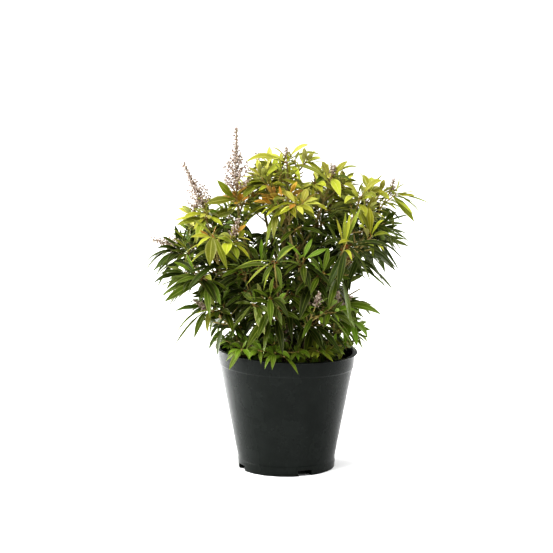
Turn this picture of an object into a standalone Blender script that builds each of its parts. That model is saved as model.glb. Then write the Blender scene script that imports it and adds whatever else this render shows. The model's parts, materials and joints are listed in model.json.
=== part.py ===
# A young pieris shrub in its round nursery pot. Metres, +Z up.
# The origin is the middle of the pot's underside, and the front of the shrub faces -Y.

import math
import random

import bmesh
import bpy
from mathutils import Matrix, Vector
from mathutils.bvhtree import BVHTree
from mathutils.geometry import interpolate_bezier

UP = Vector((0, 0, 1))
FRONT = Vector((0, -1, 0))
GAP = 0.0003  # left between pieces that touch
GOLDEN_ANGLE = 137.5

# Pot: a 3 litre container, 190 mm across the lip
POT_HEIGHT = 0.160
LIP_RADIUS = 0.095
LIP_THICKNESS = 0.0016
BAND_RADIUS = 0.0915
BAND_DEPTH = 0.0205
BAND_TAPER = 0.0012
WALL_TOP_RADIUS = 0.0889
WALL_FOOT_RADIUS = 0.0648
SKIRT_RADIUS = 0.0652
SKIRT_HEIGHT = 0.0125
WALL = 0.0018
FLOOR = 0.0022
RIM_SAG = 0.0040  # the soft mouth leans down towards +X by this much at the lip
POT_SIDES = 30
CHANNEL_WIDTH = 0.019
CHANNEL_HEIGHT = 0.0070
CHANNEL_START = 0.020
CHANNEL_PAST = 0.004  # the cutters run this far past the pot
CHANNEL_ANGLES = (22.5, 112.5, 202.5, 292.5)
DRAIN_RADIUS = 0.0045
DRAIN_DEPTH = 0.020
MOUTH_ROUND = 0.0022  # the mouth's inner edge slopes outwards by this much
BAND_ROUND = 0.0015  # where the band steps in to the wall
SKIRT_ROUND = 0.0010  # where the wall steps out to the skirt
FOOT_ROUND = 0.0006

# Compost, about level with the underside of the rim band
COMPOST_TOP = 0.141
COMPOST_FOOT = 0.0105
COMPOST_SLACK = 0.0016

# Stems and limbs. A pull is how far a curve runs straight on before it turns, as a share of its length
ROOT_FLARE = [(0.0, 1.7), (0.003, 1.3), (0.008, 1.05)]  # height, and share of the stem's radius
STEM_FOOT_PULL = 0.45
STEM_TIP_PULL = 0.30
STEM_POINTS = 7
STEM_TIP_RADIUS = 0.0024
LIMB_SHARE = 0.6  # a limb's radius where it leaves its stem, as a share of the stem's there
LIMB_FOLLOWS = 0.3  # how much of its stem's heading a limb keeps as it leaves
LIMB_PULL = 0.38
LIMB_POINTS = 4
LIMB_END = 0.003  # the straight end of a limb
BOUGH_TIP_RADIUS = 0.0016

# Shoots: a stalk rises from the bough's tip to the fork, where the shoots of a mass part
STALK = 0.014
FORK_OVERLAP = 0.001
SHOOT_LEAF_SHARE = 0.55  # a shoot is this share of its leaves' length, and SHOOT_BARE more
SHOOT_BARE = 0.008
SHOOT_LIFT = 0.12  # how far a side shoot's tip stands above the fan, as a share of its length
SHOOT_TURN_UP = 0.25
SHOOT_RADIUS = 0.0013
SHOOT_TIP_RADIUS = 0.0009
SECTION_RADIUS = 1.25  # three-sided twigs are drawn this much larger, to hold as much as round ones

# Racemes: an axis with sprays set round it, the lower ones longer, each thickest at its middle
RACEME_RADII = (0.0009, 0.0008, 0.0007, 0.0006)
RACEME_FOOT_PULL = 0.3
RACEME_TIP_PULL = 0.4
FEWEST_SPRAYS = 2
SPRAY_PACE = 0.008
FIRST_SPRAY = 0.16  # the place of the lowest, as a share of the axis
SPRAY_TILTS = (66, 30)  # degrees off the axis, lowest and highest
SPRAY_REACH = 0.0045
SPRAY_GROWTH = 0.13  # what the lowest gain, as a share of the axis
SPRAY_GAIN_END = 0.75
SPRAY_MIDDLE = 0.6
SPRAY_RADII = (0.0005, 0.0004)
SPRAY_BUD_RADII = (0.0018, 0.0012)  # of the middle of a spray, lowest and highest

# Leaves: width, thickness and the place of the widest part are shares of the leaf's length
LEAF_WIDTH = 0.27
LEAF_DEPTH = 0.016
LEAF_BELLY = 0.58
LEAF_ROOT = 0.00045
LEAF_NECK = 0.20  # nearer the root than this, leaves may meet those of their own rosette
TRIES = 9

# A rosette's leaves from the youngest to the oldest: degrees off the shoot, length as a share of the
# mass's leaf, sinking as a share of the leaf's length, and how far below the shoot's tip they stand
YOUNG_LEAN = 30
OLD_LEAN = 94
LEAF_SIZES = (0.66, 1.08)
LEAF_DROOPS = (0.12, 0.55)
LEAF_STEPS = (0.0015, 0.0155)
LOW_WAY = 0.1  # a leaf that would point lower than this turns up to the light
TURN_UP = 0.55
SCATTER = dict(off=9, around=12, roll=28, retry_off=4, retry_around=20, set_around=5, set_off=3)

# Wood keeps this clear of the leaves beside it, the pot this clear of every leaf
CLEARANCE = 0.0007
POT_CLEARANCE = 0.0015
LIP_ROOM = 0.015  # past the lip by this much, leaves stay above LOWEST_TIP
LOWEST_TIP = 0.162
BEAD_STEP = 0.002  # the wood is tested as beads strung this far apart
SPACE_LEAF_SHARE = 1.12  # a mass's space reaches this share of its leaves' length, and SPACE_REACH more
SPACE_REACH = 0.036

# The furthest that the crown reaches to either side, and to the front and back
CROWN_LEFT = -0.1905
CROWN_RIGHT = 0.1945
CROWN_DEPTH = 0.180

# Each stem: where it leaves the compost, where it ends, and its radius above the root flare
STEMS = {
    "centre": dict(foot=(0.004, 0.005), tip=(-0.003, 0.006, 0.292), radius=0.0047),
    "left": dict(foot=(-0.021, -0.003), tip=(-0.066, -0.014, 0.258), radius=0.0040),
    "right": dict(foot=(0.023, 0.001), tip=(0.066, -0.006, 0.266), radius=0.0040),
    "front": dict(foot=(0.003, -0.021), tip=(0.018, -0.054, 0.286), radius=0.0038),
    "back": dict(foot=(-0.004, 0.027), tip=(0.002, 0.064, 0.260), radius=0.0042),
}

# Each mass of foliage: the tip of its leading shoot, how that leans (degrees round from +X, degrees
# from upright), the stem it grows from and how far up it (fork), whether a bough carries it, how many
# shoots it has and how far they fan out, the length of its leaves and their number on each shoot
# (whorl), the lean of the oldest (spread), and its raceme: length, degrees round, degrees from upright
MASSES = {
    "summit": dict(at=(0.001, 0.013, 0.415), lean=(100, 6), stem="centre", fork=1.0, bough=False,
                   shoots=3, fan=44, leaf=0.052, whorl=7, tint="lime", spread=84, raceme=(0.012, 120, 8)),
    "left_crest": dict(at=(-0.033, -0.010, 0.394), lean=(190, 20), stem="centre", fork=0.86,
                       shoots=2, fan=40, leaf=0.056, whorl=8, tint="lime", spread=84),
    "right_crest": dict(at=(0.060, 0.010, 0.393), lean=(20, 18), stem="centre", fork=0.76,
                        shoots=3, fan=42, leaf=0.054, whorl=6, tint="lime", spread=80,
                        raceme=(0.010, 20, 20)),
    "back_crest": dict(at=(-0.036, 0.068, 0.382), lean=(115, 20), stem="centre", fork=0.60,
                       shoots=3, fan=44, leaf=0.056, whorl=5, tint="lime", raceme=(0.028, 110, 12)),
    "mid_spike": dict(at=(-0.066, -0.012, 0.374), lean=(180, 5), stem="centre", fork=0.48,
                      shoots=2, fan=38, leaf=0.046, whorl=8, tint="bronze", spread=66, raceme=(0.082, 90, 2)),
    "left_spike": dict(at=(-0.109, -0.006, 0.350), lean=(195, 14), stem="left", fork=1.0,
                       shoots=2, fan=40, leaf=0.050, whorl=7, tint="lime", raceme=(0.064, 180, 24)),
    "left_lime": dict(at=(-0.096, -0.068, 0.326), lean=(245, 22), stem="left", fork=0.86,
                      shoots=2, fan=42, leaf=0.056, whorl=7, tint="lime"),
    "left_wing": dict(at=(-0.144, -0.008, 0.298), lean=(172, 42), stem="left", fork=0.72,
                      shoots=2, fan=45, leaf=0.060, whorl=7, tint="dark", raceme=(0.034, 180, 72)),
    "left_reach": dict(at=(-0.130, -0.044, 0.270), lean=(200, 50), stem="left", fork=0.60,
                       shoots=2, fan=40, leaf=0.068, whorl=7, tint="dark"),
    "left_skirt": dict(at=(-0.106, -0.050, 0.226), lean=(200, 52), stem="left", fork=0.44, bough=False,
                       shoots=2, fan=38, leaf=0.064, whorl=6, tint="mid", raceme=(0.016, 200, 60)),
    "rim_left": dict(at=(-0.066, -0.042, 0.184), lean=(215, 42), stem="left", fork=0.20, bough=False,
                     shoots=2, fan=50, leaf=0.038, whorl=5, tint="fresh"),
    "core_left": dict(at=(-0.048, 0.022, 0.290), lean=(200, 12), stem="left", fork=0.32, bough=False,
                      shoots=2, fan=56, leaf=0.066, whorl=6, tint="dark"),
    "shoulder": dict(at=(0.098, -0.028, 0.370), lean=(330, 22), stem="right", fork=1.0,
                     shoots=2, fan=42, leaf=0.058, whorl=7, tint="lime", spread=84),
    "far_right": dict(at=(0.138, 0.004, 0.372), lean=(8, 30), stem="right", fork=0.86,
                      shoots=2, fan=44, leaf=0.064, whorl=7, tint="lime", raceme=(0.014, 20, 15)),
    "right_wing": dict(at=(0.112, -0.056, 0.322), lean=(335, 42), stem="right", fork=0.74,
                       shoots=2, fan=44, leaf=0.070, whorl=8, tint="dark"),
    "right_low": dict(at=(0.068, -0.064, 0.232), lean=(325, 52), stem="right", fork=0.55,
                      shoots=2, fan=40, leaf=0.066, whorl=5, tint="mid", raceme=(0.024, 320, 60)),
    "right_skirt": dict(at=(0.086, -0.040, 0.206), lean=(335, 52), stem="right", fork=0.38, bough=False,
                        shoots=3, fan=46, leaf=0.045, whorl=5, tint="fresh"),
    "rim_right": dict(at=(0.056, -0.058, 0.183), lean=(315, 42), stem="right", fork=0.18, bough=False,
                      shoots=2, fan=50, leaf=0.038, whorl=5, tint="fresh"),
    "core_right": dict(at=(0.048, 0.026, 0.300), lean=(340, 12), stem="right", fork=0.28, bough=False,
                       shoots=2, fan=56, leaf=0.066, whorl=6, tint="dark"),
    "mid_crest": dict(at=(0.003, -0.047, 0.374), lean=(262, 10), stem="front", fork=1.0,
                      shoots=3, fan=40, leaf=0.052, whorl=6, tint="lime"),
    "heart": dict(at=(0.022, -0.078, 0.296), lean=(275, 26), stem="front", fork=0.86, bough=False,
                  shoots=2, fan=50, leaf=0.066, whorl=7, tint="dark"),
    "right_fan": dict(at=(0.078, -0.088, 0.318), lean=(305, 34), stem="front", fork=0.74,
                      shoots=1, fan=40, leaf=0.074, whorl=12, tint="dark"),
    "front_star": dict(at=(-0.016, -0.118, 0.300), lean=(262, 32), stem="front", fork=0.63,
                       shoots=1, fan=40, leaf=0.068, whorl=11, tint="mid"),
    "inner_left": dict(at=(-0.060, -0.078, 0.286), lean=(235, 28), stem="front", fork=0.50, bough=False,
                       shoots=2, fan=42, leaf=0.062, whorl=7, tint="dark"),
    "front_buds": dict(at=(0.038, -0.104, 0.238), lean=(292, 42), stem="front", fork=0.40, bough=False,
                       shoots=2, fan=42, leaf=0.054, whorl=6, tint="mid", raceme=(0.024, 285, 40)),
    "front_low": dict(at=(-0.022, -0.108, 0.250), lean=(258, 46), stem="front", fork=0.30, bough=False,
                      shoots=2, fan=42, leaf=0.058, whorl=6, tint="mid"),
    "rim_front": dict(at=(-0.016, -0.076, 0.184), lean=(266, 48), stem="front", fork=0.14, bough=False,
                      shoots=3, fan=52, leaf=0.037, whorl=5, tint="fresh"),
    "back_shoulder": dict(at=(0.058, 0.078, 0.368), lean=(60, 24), stem="back", fork=1.0,
                          shoots=3, fan=44, leaf=0.060, whorl=5, tint="lime", raceme=(0.026, 60, 14)),
    "back_left": dict(at=(-0.104, 0.068, 0.322), lean=(150, 36), stem="back", fork=0.86,
                      shoots=3, fan=44, leaf=0.064, whorl=5, tint="mid"),
    "back_middle": dict(at=(0.006, 0.120, 0.312), lean=(88, 36), stem="back", fork=0.74,
                        shoots=3, fan=44, leaf=0.064, whorl=5, tint="dark"),
    "back_right": dict(at=(0.118, 0.066, 0.316), lean=(32, 38), stem="back", fork=0.63,
                       shoots=3, fan=44, leaf=0.066, whorl=5, tint="dark"),
    "back_low_left": dict(at=(-0.074, 0.084, 0.238), lean=(135, 50), stem="back", fork=0.50, bough=False,
                          shoots=3, fan=44, leaf=0.062, whorl=5, tint="mid"),
    "back_low_right": dict(at=(0.080, 0.078, 0.234), lean=(48, 50), stem="back", fork=0.38, bough=False,
                           shoots=3, fan=44, leaf=0.062, whorl=5, tint="mid"),
    "rim_back": dict(at=(0.004, 0.076, 0.186), lean=(90, 48), stem="back", fork=0.20, bough=False,
                     shoots=2, fan=52, leaf=0.038, whorl=5, tint="fresh"),
}

# Leaves that make the outline, on a mass's leading rosette: degrees round from +X, degrees from
# upright, length, and how far the leaf sinks as a share of its length
OUTLINE_LEAVES = {
    "summit": [(25, 52, 0.044, 0.10), (160, 50, 0.034, 0.15), (5, 76, 0.050, 0.10)],
    "right_crest": [(20, 30, 0.046, 0.10), (170, 70, 0.050, 0.20)],
    "left_crest": [(185, 60, 0.050, 0.15), (175, 88, 0.052, 0.20)],
    "mid_spike": [(205, 42, 0.046, 0.05), (340, 48, 0.040, 0.10), (190, 84, 0.046, 0.25)],
    "left_spike": [(355, 62, 0.046, 0.15), (200, 88, 0.046, 0.25), (340, 84, 0.044, 0.30)],
    "left_lime": [(265, 112, 0.060, 0.45), (230, 92, 0.052, 0.35), (300, 100, 0.052, 0.40)],
    "left_wing": [(180, 88, 0.069, 0.50), (172, 78, 0.056, 0.45), (190, 98, 0.056, 0.50)],
    "left_reach": [(188, 92, 0.064, 0.35), (200, 104, 0.062, 0.30), (178, 84, 0.058, 0.45)],
    "left_skirt": [(190, 86, 0.062, 0.15), (196, 106, 0.066, 0.45), (178, 100, 0.060, 0.55)],
    "shoulder": [(5, 30, 0.048, 0.20), (30, 52, 0.052, 0.30)],
    "far_right": [(358, 88, 0.062, 0.02), (10, 66, 0.052, 0.10), (340, 98, 0.056, 0.15),
                  (20, 104, 0.050, 0.25)],
    "right_wing": [(345, 96, 0.070, 0.55), (325, 104, 0.068, 0.55), (358, 86, 0.064, 0.50),
                   (300, 118, 0.056, 0.40)],
    "right_low": [(352, 92, 0.066, 0.10), (310, 96, 0.052, 0.30)],
    "right_skirt": [(350, 88, 0.042, 0.25), (20, 84, 0.040, 0.30)],
    "right_fan": [(272, 150, 0.066, 0.10), (180, 92, 0.066, 0.25), (215, 70, 0.060, 0.10)],
    "rim_front": [(300, 96, 0.036, 0.75), (262, 92, 0.032, 0.70)],
    "rim_left": [(190, 84, 0.034, 0.45)],
}

POT_COLOUR = (0.020, 0.024, 0.022)
COMPOST_COLOUR = (0.045, 0.026, 0.014)
BARK_COLOUR = (0.20, 0.12, 0.07)
TINTS = {
    "lime": (0.42, 0.50, 0.05),
    "bronze": (0.45, 0.36, 0.07),
    "fresh": (0.20, 0.36, 0.05),
    "mid": (0.12, 0.25, 0.04),
    "dark": (0.04, 0.13, 0.03),
}


# Small helpers
def heading(azimuth, tilt):
    around = math.radians(azimuth)
    off = math.radians(tilt)
    return Vector((math.cos(around) * math.sin(off), math.sin(around) * math.sin(off), math.cos(off)))


def swung(axis, around, off):
    """The axis tipped by off degrees, towards the side that lies around degrees round it."""
    side = axis.orthogonal().normalized()
    side.rotate(Matrix.Rotation(math.radians(around), 3, axis))
    return (axis * math.cos(math.radians(off)) + side * math.sin(math.radians(off))).normalized()


def blend(a, b, share):
    return a + (b - a) * share


def along(points, share):
    """The point that lies that share of the way through a list of evenly spread points."""
    place = share * (len(points) - 1)
    first = min(int(place), len(points) - 2)
    return points[first].lerp(points[first + 1], place - first)


def curve_points(start, start_pull, end, end_pull, count):
    return interpolate_bezier(start, start + start_pull, end - end_pull, end, count)


# Wood: each limb is a list of points with a radius at each
def grow_stem(facts):
    foot = Vector((*facts["foot"], COMPOST_TOP + GAP))
    tip = Vector(facts["tip"])
    rise = tip.z - foot.z
    rest = curve_points(foot, UP * rise * STEM_FOOT_PULL, tip, UP * rise * STEM_TIP_PULL, STEM_POINTS)
    radius = facts["radius"]
    tapered = [blend(radius, STEM_TIP_RADIUS, (p.z - foot.z) / rise) for p in rest[1:]]
    flare_points = [foot + UP * height for height, _ in ROOT_FLARE]
    flare_radii = [radius * share for _, share in ROOT_FLARE]
    return dict(points=flare_points + rest[1:], radii=flare_radii + tapered)


def limb_to(stem, mass, end, end_way, end_radius):
    """A limb that leaves its stem's axis and arrives at end, pointing along end_way."""
    bare = len(ROOT_FLARE) - 1
    start = along(stem["points"][bare:], mass["fork"])
    stem_way = (stem["points"][-1] - stem["points"][-2]).normalized()
    arrive = end - end_way * LIMB_END
    straight = arrive - start
    leave = (stem_way * LIMB_FOLLOWS + straight.normalized()).normalized()
    pull = straight.length * LIMB_PULL
    points = curve_points(start, leave * pull, arrive, end_way * pull, LIMB_POINTS) + [end]
    thick = blend(stem["radii"][bare], STEM_TIP_RADIUS, mass["fork"]) * LIMB_SHARE
    radii = [blend(thick, end_radius, i / (len(points) - 1)) for i in range(len(points))]
    return dict(points=points, radii=radii)


def grow_frame(name, mass, stem):
    """The bough, stalk, shoots and raceme of one mass, before its leaves."""
    way = heading(*mass["lean"])
    lead_tip = Vector(mass["at"])
    length = mass["leaf"] * SHOOT_LEAF_SHARE + SHOOT_BARE
    fork = lead_tip - way * length
    foot = fork - way * STALK
    made = dict(bough=None, twigs=[], shoots=[])
    if mass.get("bough", True):
        made["bough"] = limb_to(stem, mass, foot, way, BOUGH_TIP_RADIUS)
        stalk = [foot + way * GAP, fork + way * FORK_OVERLAP]
        made["twigs"].append(dict(points=stalk, radii=[BOUGH_TIP_RADIUS, SHOOT_RADIUS]))
    else:
        made["twigs"].append(limb_to(stem, mass, fork + way * FORK_OVERLAP, way, SHOOT_RADIUS))
    turn = random.Random(name).uniform(0, 360)
    for i in range(mass["shoots"]):
        rng = random.Random(f"{name} shoot {i}")
        if i == 0:
            tip, shoot_way = lead_tip, way
        else:
            side_way = swung(way, turn + i * 360 / (mass["shoots"] - 1), mass["fan"])
            shoot_way = (side_way + UP * SHOOT_TURN_UP).normalized()
            tip = fork + side_way * length * rng.uniform(0.85, 1.1) + UP * length * SHOOT_LIFT
        shoot = dict(points=[fork, tip], radii=[SHOOT_RADIUS, SHOOT_TIP_RADIUS])
        made["twigs"].append(shoot)
        made["shoots"].append(dict(shoot, way=shoot_way))
    if "raceme" in mass:
        grow_raceme(made, lead_tip, way, *mass["raceme"])
    return made


def grow_raceme(made, root, way, length, azimuth, tilt):
    """An axis of buds over the leading rosette: longer sprays below and short ones above."""
    lean = heading(azimuth, tilt)
    end = root + lean * length
    axis = curve_points(root - way * FORK_OVERLAP, way * length * RACEME_FOOT_PULL, end,
                        lean * length * RACEME_TIP_PULL, len(RACEME_RADII))
    made["twigs"].append(dict(points=axis, radii=list(RACEME_RADII)))
    sprays = FEWEST_SPRAYS + round(length / SPRAY_PACE)
    for i in range(sprays):
        share = FIRST_SPRAY + (1 - FIRST_SPRAY) * i / (sprays - 1)
        start = along(axis, share)
        out = swung(lean, i * GOLDEN_ANGLE, blend(*SPRAY_TILTS, share))
        reach = SPRAY_REACH + length * SPRAY_GROWTH * max(0, SPRAY_GAIN_END - share)
        points = [start, start + out * reach * SPRAY_MIDDLE, start + out * reach]
        radii = [SPRAY_RADII[0], blend(*SPRAY_BUD_RADII, share), SPRAY_RADII[1]]
        made["twigs"].append(dict(points=points, radii=radii))


# Leaves
def leaf_template():
    """A three-sided bar drawn to a point: its ends are the leaf's root and tip, its middle the belly."""
    shape = bmesh.new()
    bmesh.ops.create_cone(shape, cap_ends=True, segments=3, radius1=1, radius2=1, depth=2)
    tip = max(shape.faces, key=lambda f: f.calc_center_median().z)
    bmesh.ops.poke(shape, faces=[tip])
    mesh = bpy.data.meshes.new("leaf template")
    shape.to_mesh(mesh)
    shape.free()
    return mesh


def leaf_point(leaf, share):
    """The midrib at that share of the leaf's length: it sets off along its way and sinks."""
    drawn = leaf["way"] * share - UP * leaf["droop"] * share * share
    return leaf["root"] + drawn * leaf["length"] / (1 + 0.4 * leaf["droop"])


def leaf_corners(leaf, template, grown=0.0, start=0.0):
    """The template's corners laid along the leaf, larger all round by grown, its root moved to start.

    The template's corners stand at 30, 150 and 270 degrees: two make the leaf's edges, one its keel."""
    corners = []
    belly = leaf["length"] * LEAF_WIDTH / 2
    for vertex in template.vertices:
        x, y, z = vertex.co
        if abs(x) + abs(y) < 0.1:  # the middle of the upper end, which becomes the leaf's tip
            corners.append(leaf_point(leaf, 1.0 + grown / leaf["length"]))
            continue
        share = LEAF_BELLY if z > 0 else start
        half = blend(LEAF_ROOT, belly, share / LEAF_BELLY)
        depth = blend(LEAF_ROOT * 1.8, leaf["length"] * LEAF_DEPTH, share / LEAF_BELLY)
        across = x / math.cos(math.radians(30))
        below = (y + 0.5) / 1.5
        lift = 0.0 if z > 0 else 0.4
        offset = leaf["side"] * across * (half + grown)
        offset += leaf["face"] * (grown * (1 - 2 * below) + depth * (lift - below))
        corners.append(leaf_point(leaf, share) + offset)
    return corners


def lay_leaf(root, way, axis, length, droop, roll):
    """A leaf whose upper face looks towards the shoot's axis, rolled a little about its midrib."""
    side = way.cross(axis).normalized()
    side.rotate(Matrix.Rotation(math.radians(roll), 3, way))
    return dict(root=root, way=way, length=length, droop=droop, side=side, face=side.cross(way).normalized())


def scatter(rng, what):
    return rng.uniform(-SCATTER[what], SCATTER[what])


def leaf_try(name, mass, number, shoot, rank, attempt):
    """One attempt at the leaf of that rank: the first are the old outer ones, the last the young."""
    rng = random.Random(f"{name} {number} {rank} {attempt}")
    age = 1 - rank / (mass["whorl"] - 1)
    off = blend(YOUNG_LEAN, mass.get("spread", OLD_LEAN), age ** 0.8) + scatter(rng, "off")
    off += attempt * scatter(rng, "retry_off")
    around = rank * GOLDEN_ANGLE + scatter(rng, "around") + attempt * scatter(rng, "retry_around")
    last, before = shoot["points"][-1], shoot["points"][-2]
    root = last.lerp(before, blend(*LEAF_STEPS, age) / (last - before).length)
    set_leaves = OUTLINE_LEAVES.get(name, [])
    if number == 0 and rank < len(set_leaves):
        azimuth, tilt, length, droop = set_leaves[rank]
        azimuth += attempt * scatter(rng, "set_around")
        way = heading(azimuth, tilt + attempt * scatter(rng, "set_off"))
        return lay_leaf(root, way, UP + FRONT, length, droop, 0)
    way = swung(shoot["way"], around, off)
    if way.z < LOW_WAY:
        way.z = LOW_WAY + (way.z - LOW_WAY) * TURN_UP
        way.normalize()
    length = mass["leaf"] * blend(*LEAF_SIZES, age) * rng.uniform(0.9, 1.08) * (1 - 0.04 * attempt)
    droop = blend(*LEAF_DROOPS, age) * rng.uniform(0.7, 1.3)
    return lay_leaf(root, way, (shoot["way"] + UP * 0.7).normalized(), length, droop, scatter(rng, "roll"))


def pot_in_the_way(point):
    """Whether a point lies in the pot or the compost, or too near them."""
    near = POT_CLEARANCE
    rim = POT_HEIGHT - RIM_SAG * point.x / LIP_RADIUS
    radius = math.hypot(point.x, point.y)
    if point.z > rim + near or radius > LIP_RADIUS + near:
        return False
    return radius > WALL_TOP_RADIUS - WALL - 0.001 - near or point.z < COMPOST_TOP + near


class Crown:
    """What already fills the crown: beads strung along the wood, and the leaves laid so far."""

    def __init__(self, template):
        self.template = template
        self.faces = [list(p.vertices) for p in template.polygons]
        self.beads = []
        self.leaves = []

    def string(self, limb, owner):
        """Adds beads along a limb."""
        for a, b, ra, rb in zip(limb["points"], limb["points"][1:], limb["radii"], limb["radii"][1:]):
            steps = max(1, math.ceil((b - a).length / BEAD_STEP))
            for i in range(steps + 1):
                self.beads.append((a.lerp(b, i / steps), blend(ra, rb, i / steps), owner))

    def takes(self, leaf, owner, mass_name, centre, reach):
        """Whether the leaf keeps to its mass's space and clear of all that is there. If so it is kept."""
        corners = leaf_corners(leaf, self.template)
        for corner in corners:
            if (corner - centre).length > reach or not CROWN_LEFT < corner.x < CROWN_RIGHT:
                return False
            if abs(corner.y) > CROWN_DEPTH:
                return False
        tip = leaf_point(leaf, 1.0)
        if tip.z < LOWEST_TIP and math.hypot(tip.x, tip.y) > LIP_RADIUS + LIP_ROOM:
            return False
        for corner in corners:
            if any(pot_in_the_way(corner.lerp(tip, i / 10)) for i in range(11)):
                return False
            if any(pot_in_the_way(leaf["root"].lerp(corner, i / 10)) for i in range(4, 11)):
                return False
        whole = BVHTree.FromPolygons(leaf_corners(leaf, self.template, 0.0005), self.faces)
        outer = BVHTree.FromPolygons(leaf_corners(leaf, self.template, 0.0002, LEAF_NECK), self.faces)
        middle = (leaf["root"] + tip) / 2
        size = leaf["length"] * 0.62
        for place, radius, bead_owner in self.beads:
            if (place - middle).length > size + radius:
                continue
            tree = outer if bead_owner == mass_name else whole
            if tree.find_nearest(place, radius + CLEARANCE)[0] is not None:
                return False
        for other in self.leaves:
            if (other["middle"] - middle).length > size + other["size"]:
                continue
            if other["owner"] == owner:
                if outer.overlap(other["outer"]):
                    return False
            elif whole.overlap(other["whole"]):
                return False
        laid = dict(leaf, owner=owner, mass=mass_name, middle=middle, size=size)
        laid["whole"] = BVHTree.FromPolygons(corners, self.faces)
        laid["outer"] = BVHTree.FromPolygons(leaf_corners(leaf, self.template, 0, LEAF_NECK), self.faces)
        self.leaves.append(laid)
        return True


def grow_plant(template):
    """The stems, the frame of each mass, and the leaves: the whole plan of the plant."""
    stems = {name: grow_stem(facts) for name, facts in STEMS.items()}
    frames = {name: grow_frame(name, mass, stems[mass["stem"]]) for name, mass in MASSES.items()}
    crown = Crown(template)
    for name, stem in stems.items():
        crown.string(stem, f"stem {name}")
    for name, frame in frames.items():
        if frame["bough"]:
            crown.string(frame["bough"], f"bough {name}")
        for twig in frame["twigs"]:
            crown.string(twig, name)
    for rank in range(max(mass["whorl"] for mass in MASSES.values())):
        for name, mass in MASSES.items():
            if rank >= mass["whorl"]:
                continue
            centre = Vector(mass["at"])
            reach = mass["leaf"] * SPACE_LEAF_SHARE + SPACE_REACH
            for number, shoot in enumerate(frames[name]["shoots"]):
                for attempt in range(TRIES):
                    leaf = leaf_try(name, mass, number, shoot, rank, attempt)
                    if crown.takes(leaf, f"{name} {number}", name, centre, reach):
                        break
    return stems, frames, crown.leaves


# Making the objects
def paint(name, colour, roughness, metallic=0.0):
    material = bpy.data.materials.new(name)
    material.use_nodes = True
    shader = material.node_tree.nodes["Principled BSDF"]
    shader.inputs["Base Color"].default_value = (*colour, 1)
    shader.inputs["Roughness"].default_value = roughness
    shader.inputs["Metallic"].default_value = metallic
    return material


def add_object(name, data, collection, material=None):
    made = bpy.data.objects.new(name, data)
    collection.objects.link(made)
    if material:
        data.materials.clear()
        data.materials.append(material)
    return made


def add_collection(name, helper=False):
    collection = bpy.data.collections.new(name)
    collection.hide_render = helper
    bpy.context.scene.collection.children.link(collection)
    return collection


def as_helper(thing):
    thing.hide_render = True
    thing.display_type = "WIRE"


def limb_curve(name, limb, collection, section=None, thicker=0.0):
    """A tapering limb as a curve with filled caps: round, or with the three-sided section."""
    curve = bpy.data.curves.new(name, "CURVE")
    curve.dimensions = "3D"
    curve.use_fill_caps = True
    curve.twist_mode = "MINIMUM"
    if section:
        curve.bevel_mode = "OBJECT"
        curve.bevel_object = section
    else:
        curve.bevel_depth = 1.0
        curve.bevel_resolution = 1
    spline = curve.splines.new("POLY")
    spline.points.add(len(limb["points"]) - 1)
    for knot, place, radius in zip(spline.points, limb["points"], limb["radii"]):
        knot.co = (*place, 1)
        knot.radius = radius + thicker
    return add_object(name, curve, collection)


def curves_to_meshes(curves):
    """Each curve's object replaced by a mesh object of the same name, with its caps welded on."""
    bpy.context.view_layer.update()
    graph = bpy.context.evaluated_depsgraph_get()
    meshes = [bpy.data.meshes.new_from_object(c.evaluated_get(graph)) for c in curves]
    made = []
    for curve, mesh in zip(curves, meshes):
        shape = bmesh.new()
        shape.from_mesh(mesh)
        bmesh.ops.remove_doubles(shape, verts=shape.verts, dist=0.000005)
        bmesh.ops.recalc_face_normals(shape, faces=shape.faces)
        shape.to_mesh(mesh)
        shape.free()
        name, home, place = curve.name, curve.users_collection[0], curve.matrix_world.copy()
        bpy.data.objects.remove(curve)
        solid = add_object(name, mesh, home)
        solid.matrix_world = place
        made.append(solid)
    return made


def boolean(target, operation, tool, solver="EXACT"):
    modifier = target.modifiers.new(operation.lower(), "BOOLEAN")
    modifier.operation = operation
    modifier.solver = solver
    if isinstance(tool, bpy.types.Collection):
        modifier.operand_type = "COLLECTION"
        modifier.collection = tool
    else:
        modifier.object = tool
    return modifier


def apply_modifiers(thing, *tools):
    """The object's mesh as its modifiers leave it. The collections they used are then removed."""
    bpy.context.view_layer.update()
    graph = bpy.context.evaluated_depsgraph_get()
    mesh = bpy.data.meshes.new_from_object(thing.evaluated_get(graph))
    thing.modifiers.clear()
    thing.data = mesh
    for tool in tools:
        for helper in list(tool.objects):
            bpy.data.objects.remove(helper)
        bpy.data.collections.remove(tool)


# Pot and compost
def pot_profile():
    """The pot's half section as (radius, height): down the outside from the mouth, and up the inside."""
    inner_top = WALL_TOP_RADIUS - WALL
    inner_foot = WALL_FOOT_RADIUS - WALL
    band_foot = POT_HEIGHT - BAND_DEPTH
    return [
        (inner_top + MOUTH_ROUND, POT_HEIGHT),
        (LIP_RADIUS, POT_HEIGHT),
        (LIP_RADIUS, POT_HEIGHT - LIP_THICKNESS),
        (BAND_RADIUS, POT_HEIGHT - LIP_THICKNESS - 0.0004),
        (BAND_RADIUS - BAND_TAPER, band_foot),
        (WALL_TOP_RADIUS, band_foot - BAND_ROUND),
        (WALL_FOOT_RADIUS, SKIRT_HEIGHT + SKIRT_ROUND),
        (SKIRT_RADIUS, SKIRT_HEIGHT),
        (SKIRT_RADIUS - FOOT_ROUND, 0),
        (0, 0),
        (0, FLOOR),
        (SKIRT_RADIUS - WALL - 0.0008, FLOOR),
        (SKIRT_RADIUS - WALL, SKIRT_HEIGHT),
        (inner_foot, SKIRT_HEIGHT + 0.0012),
        (inner_top, band_foot - BAND_ROUND),
    ]


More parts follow.
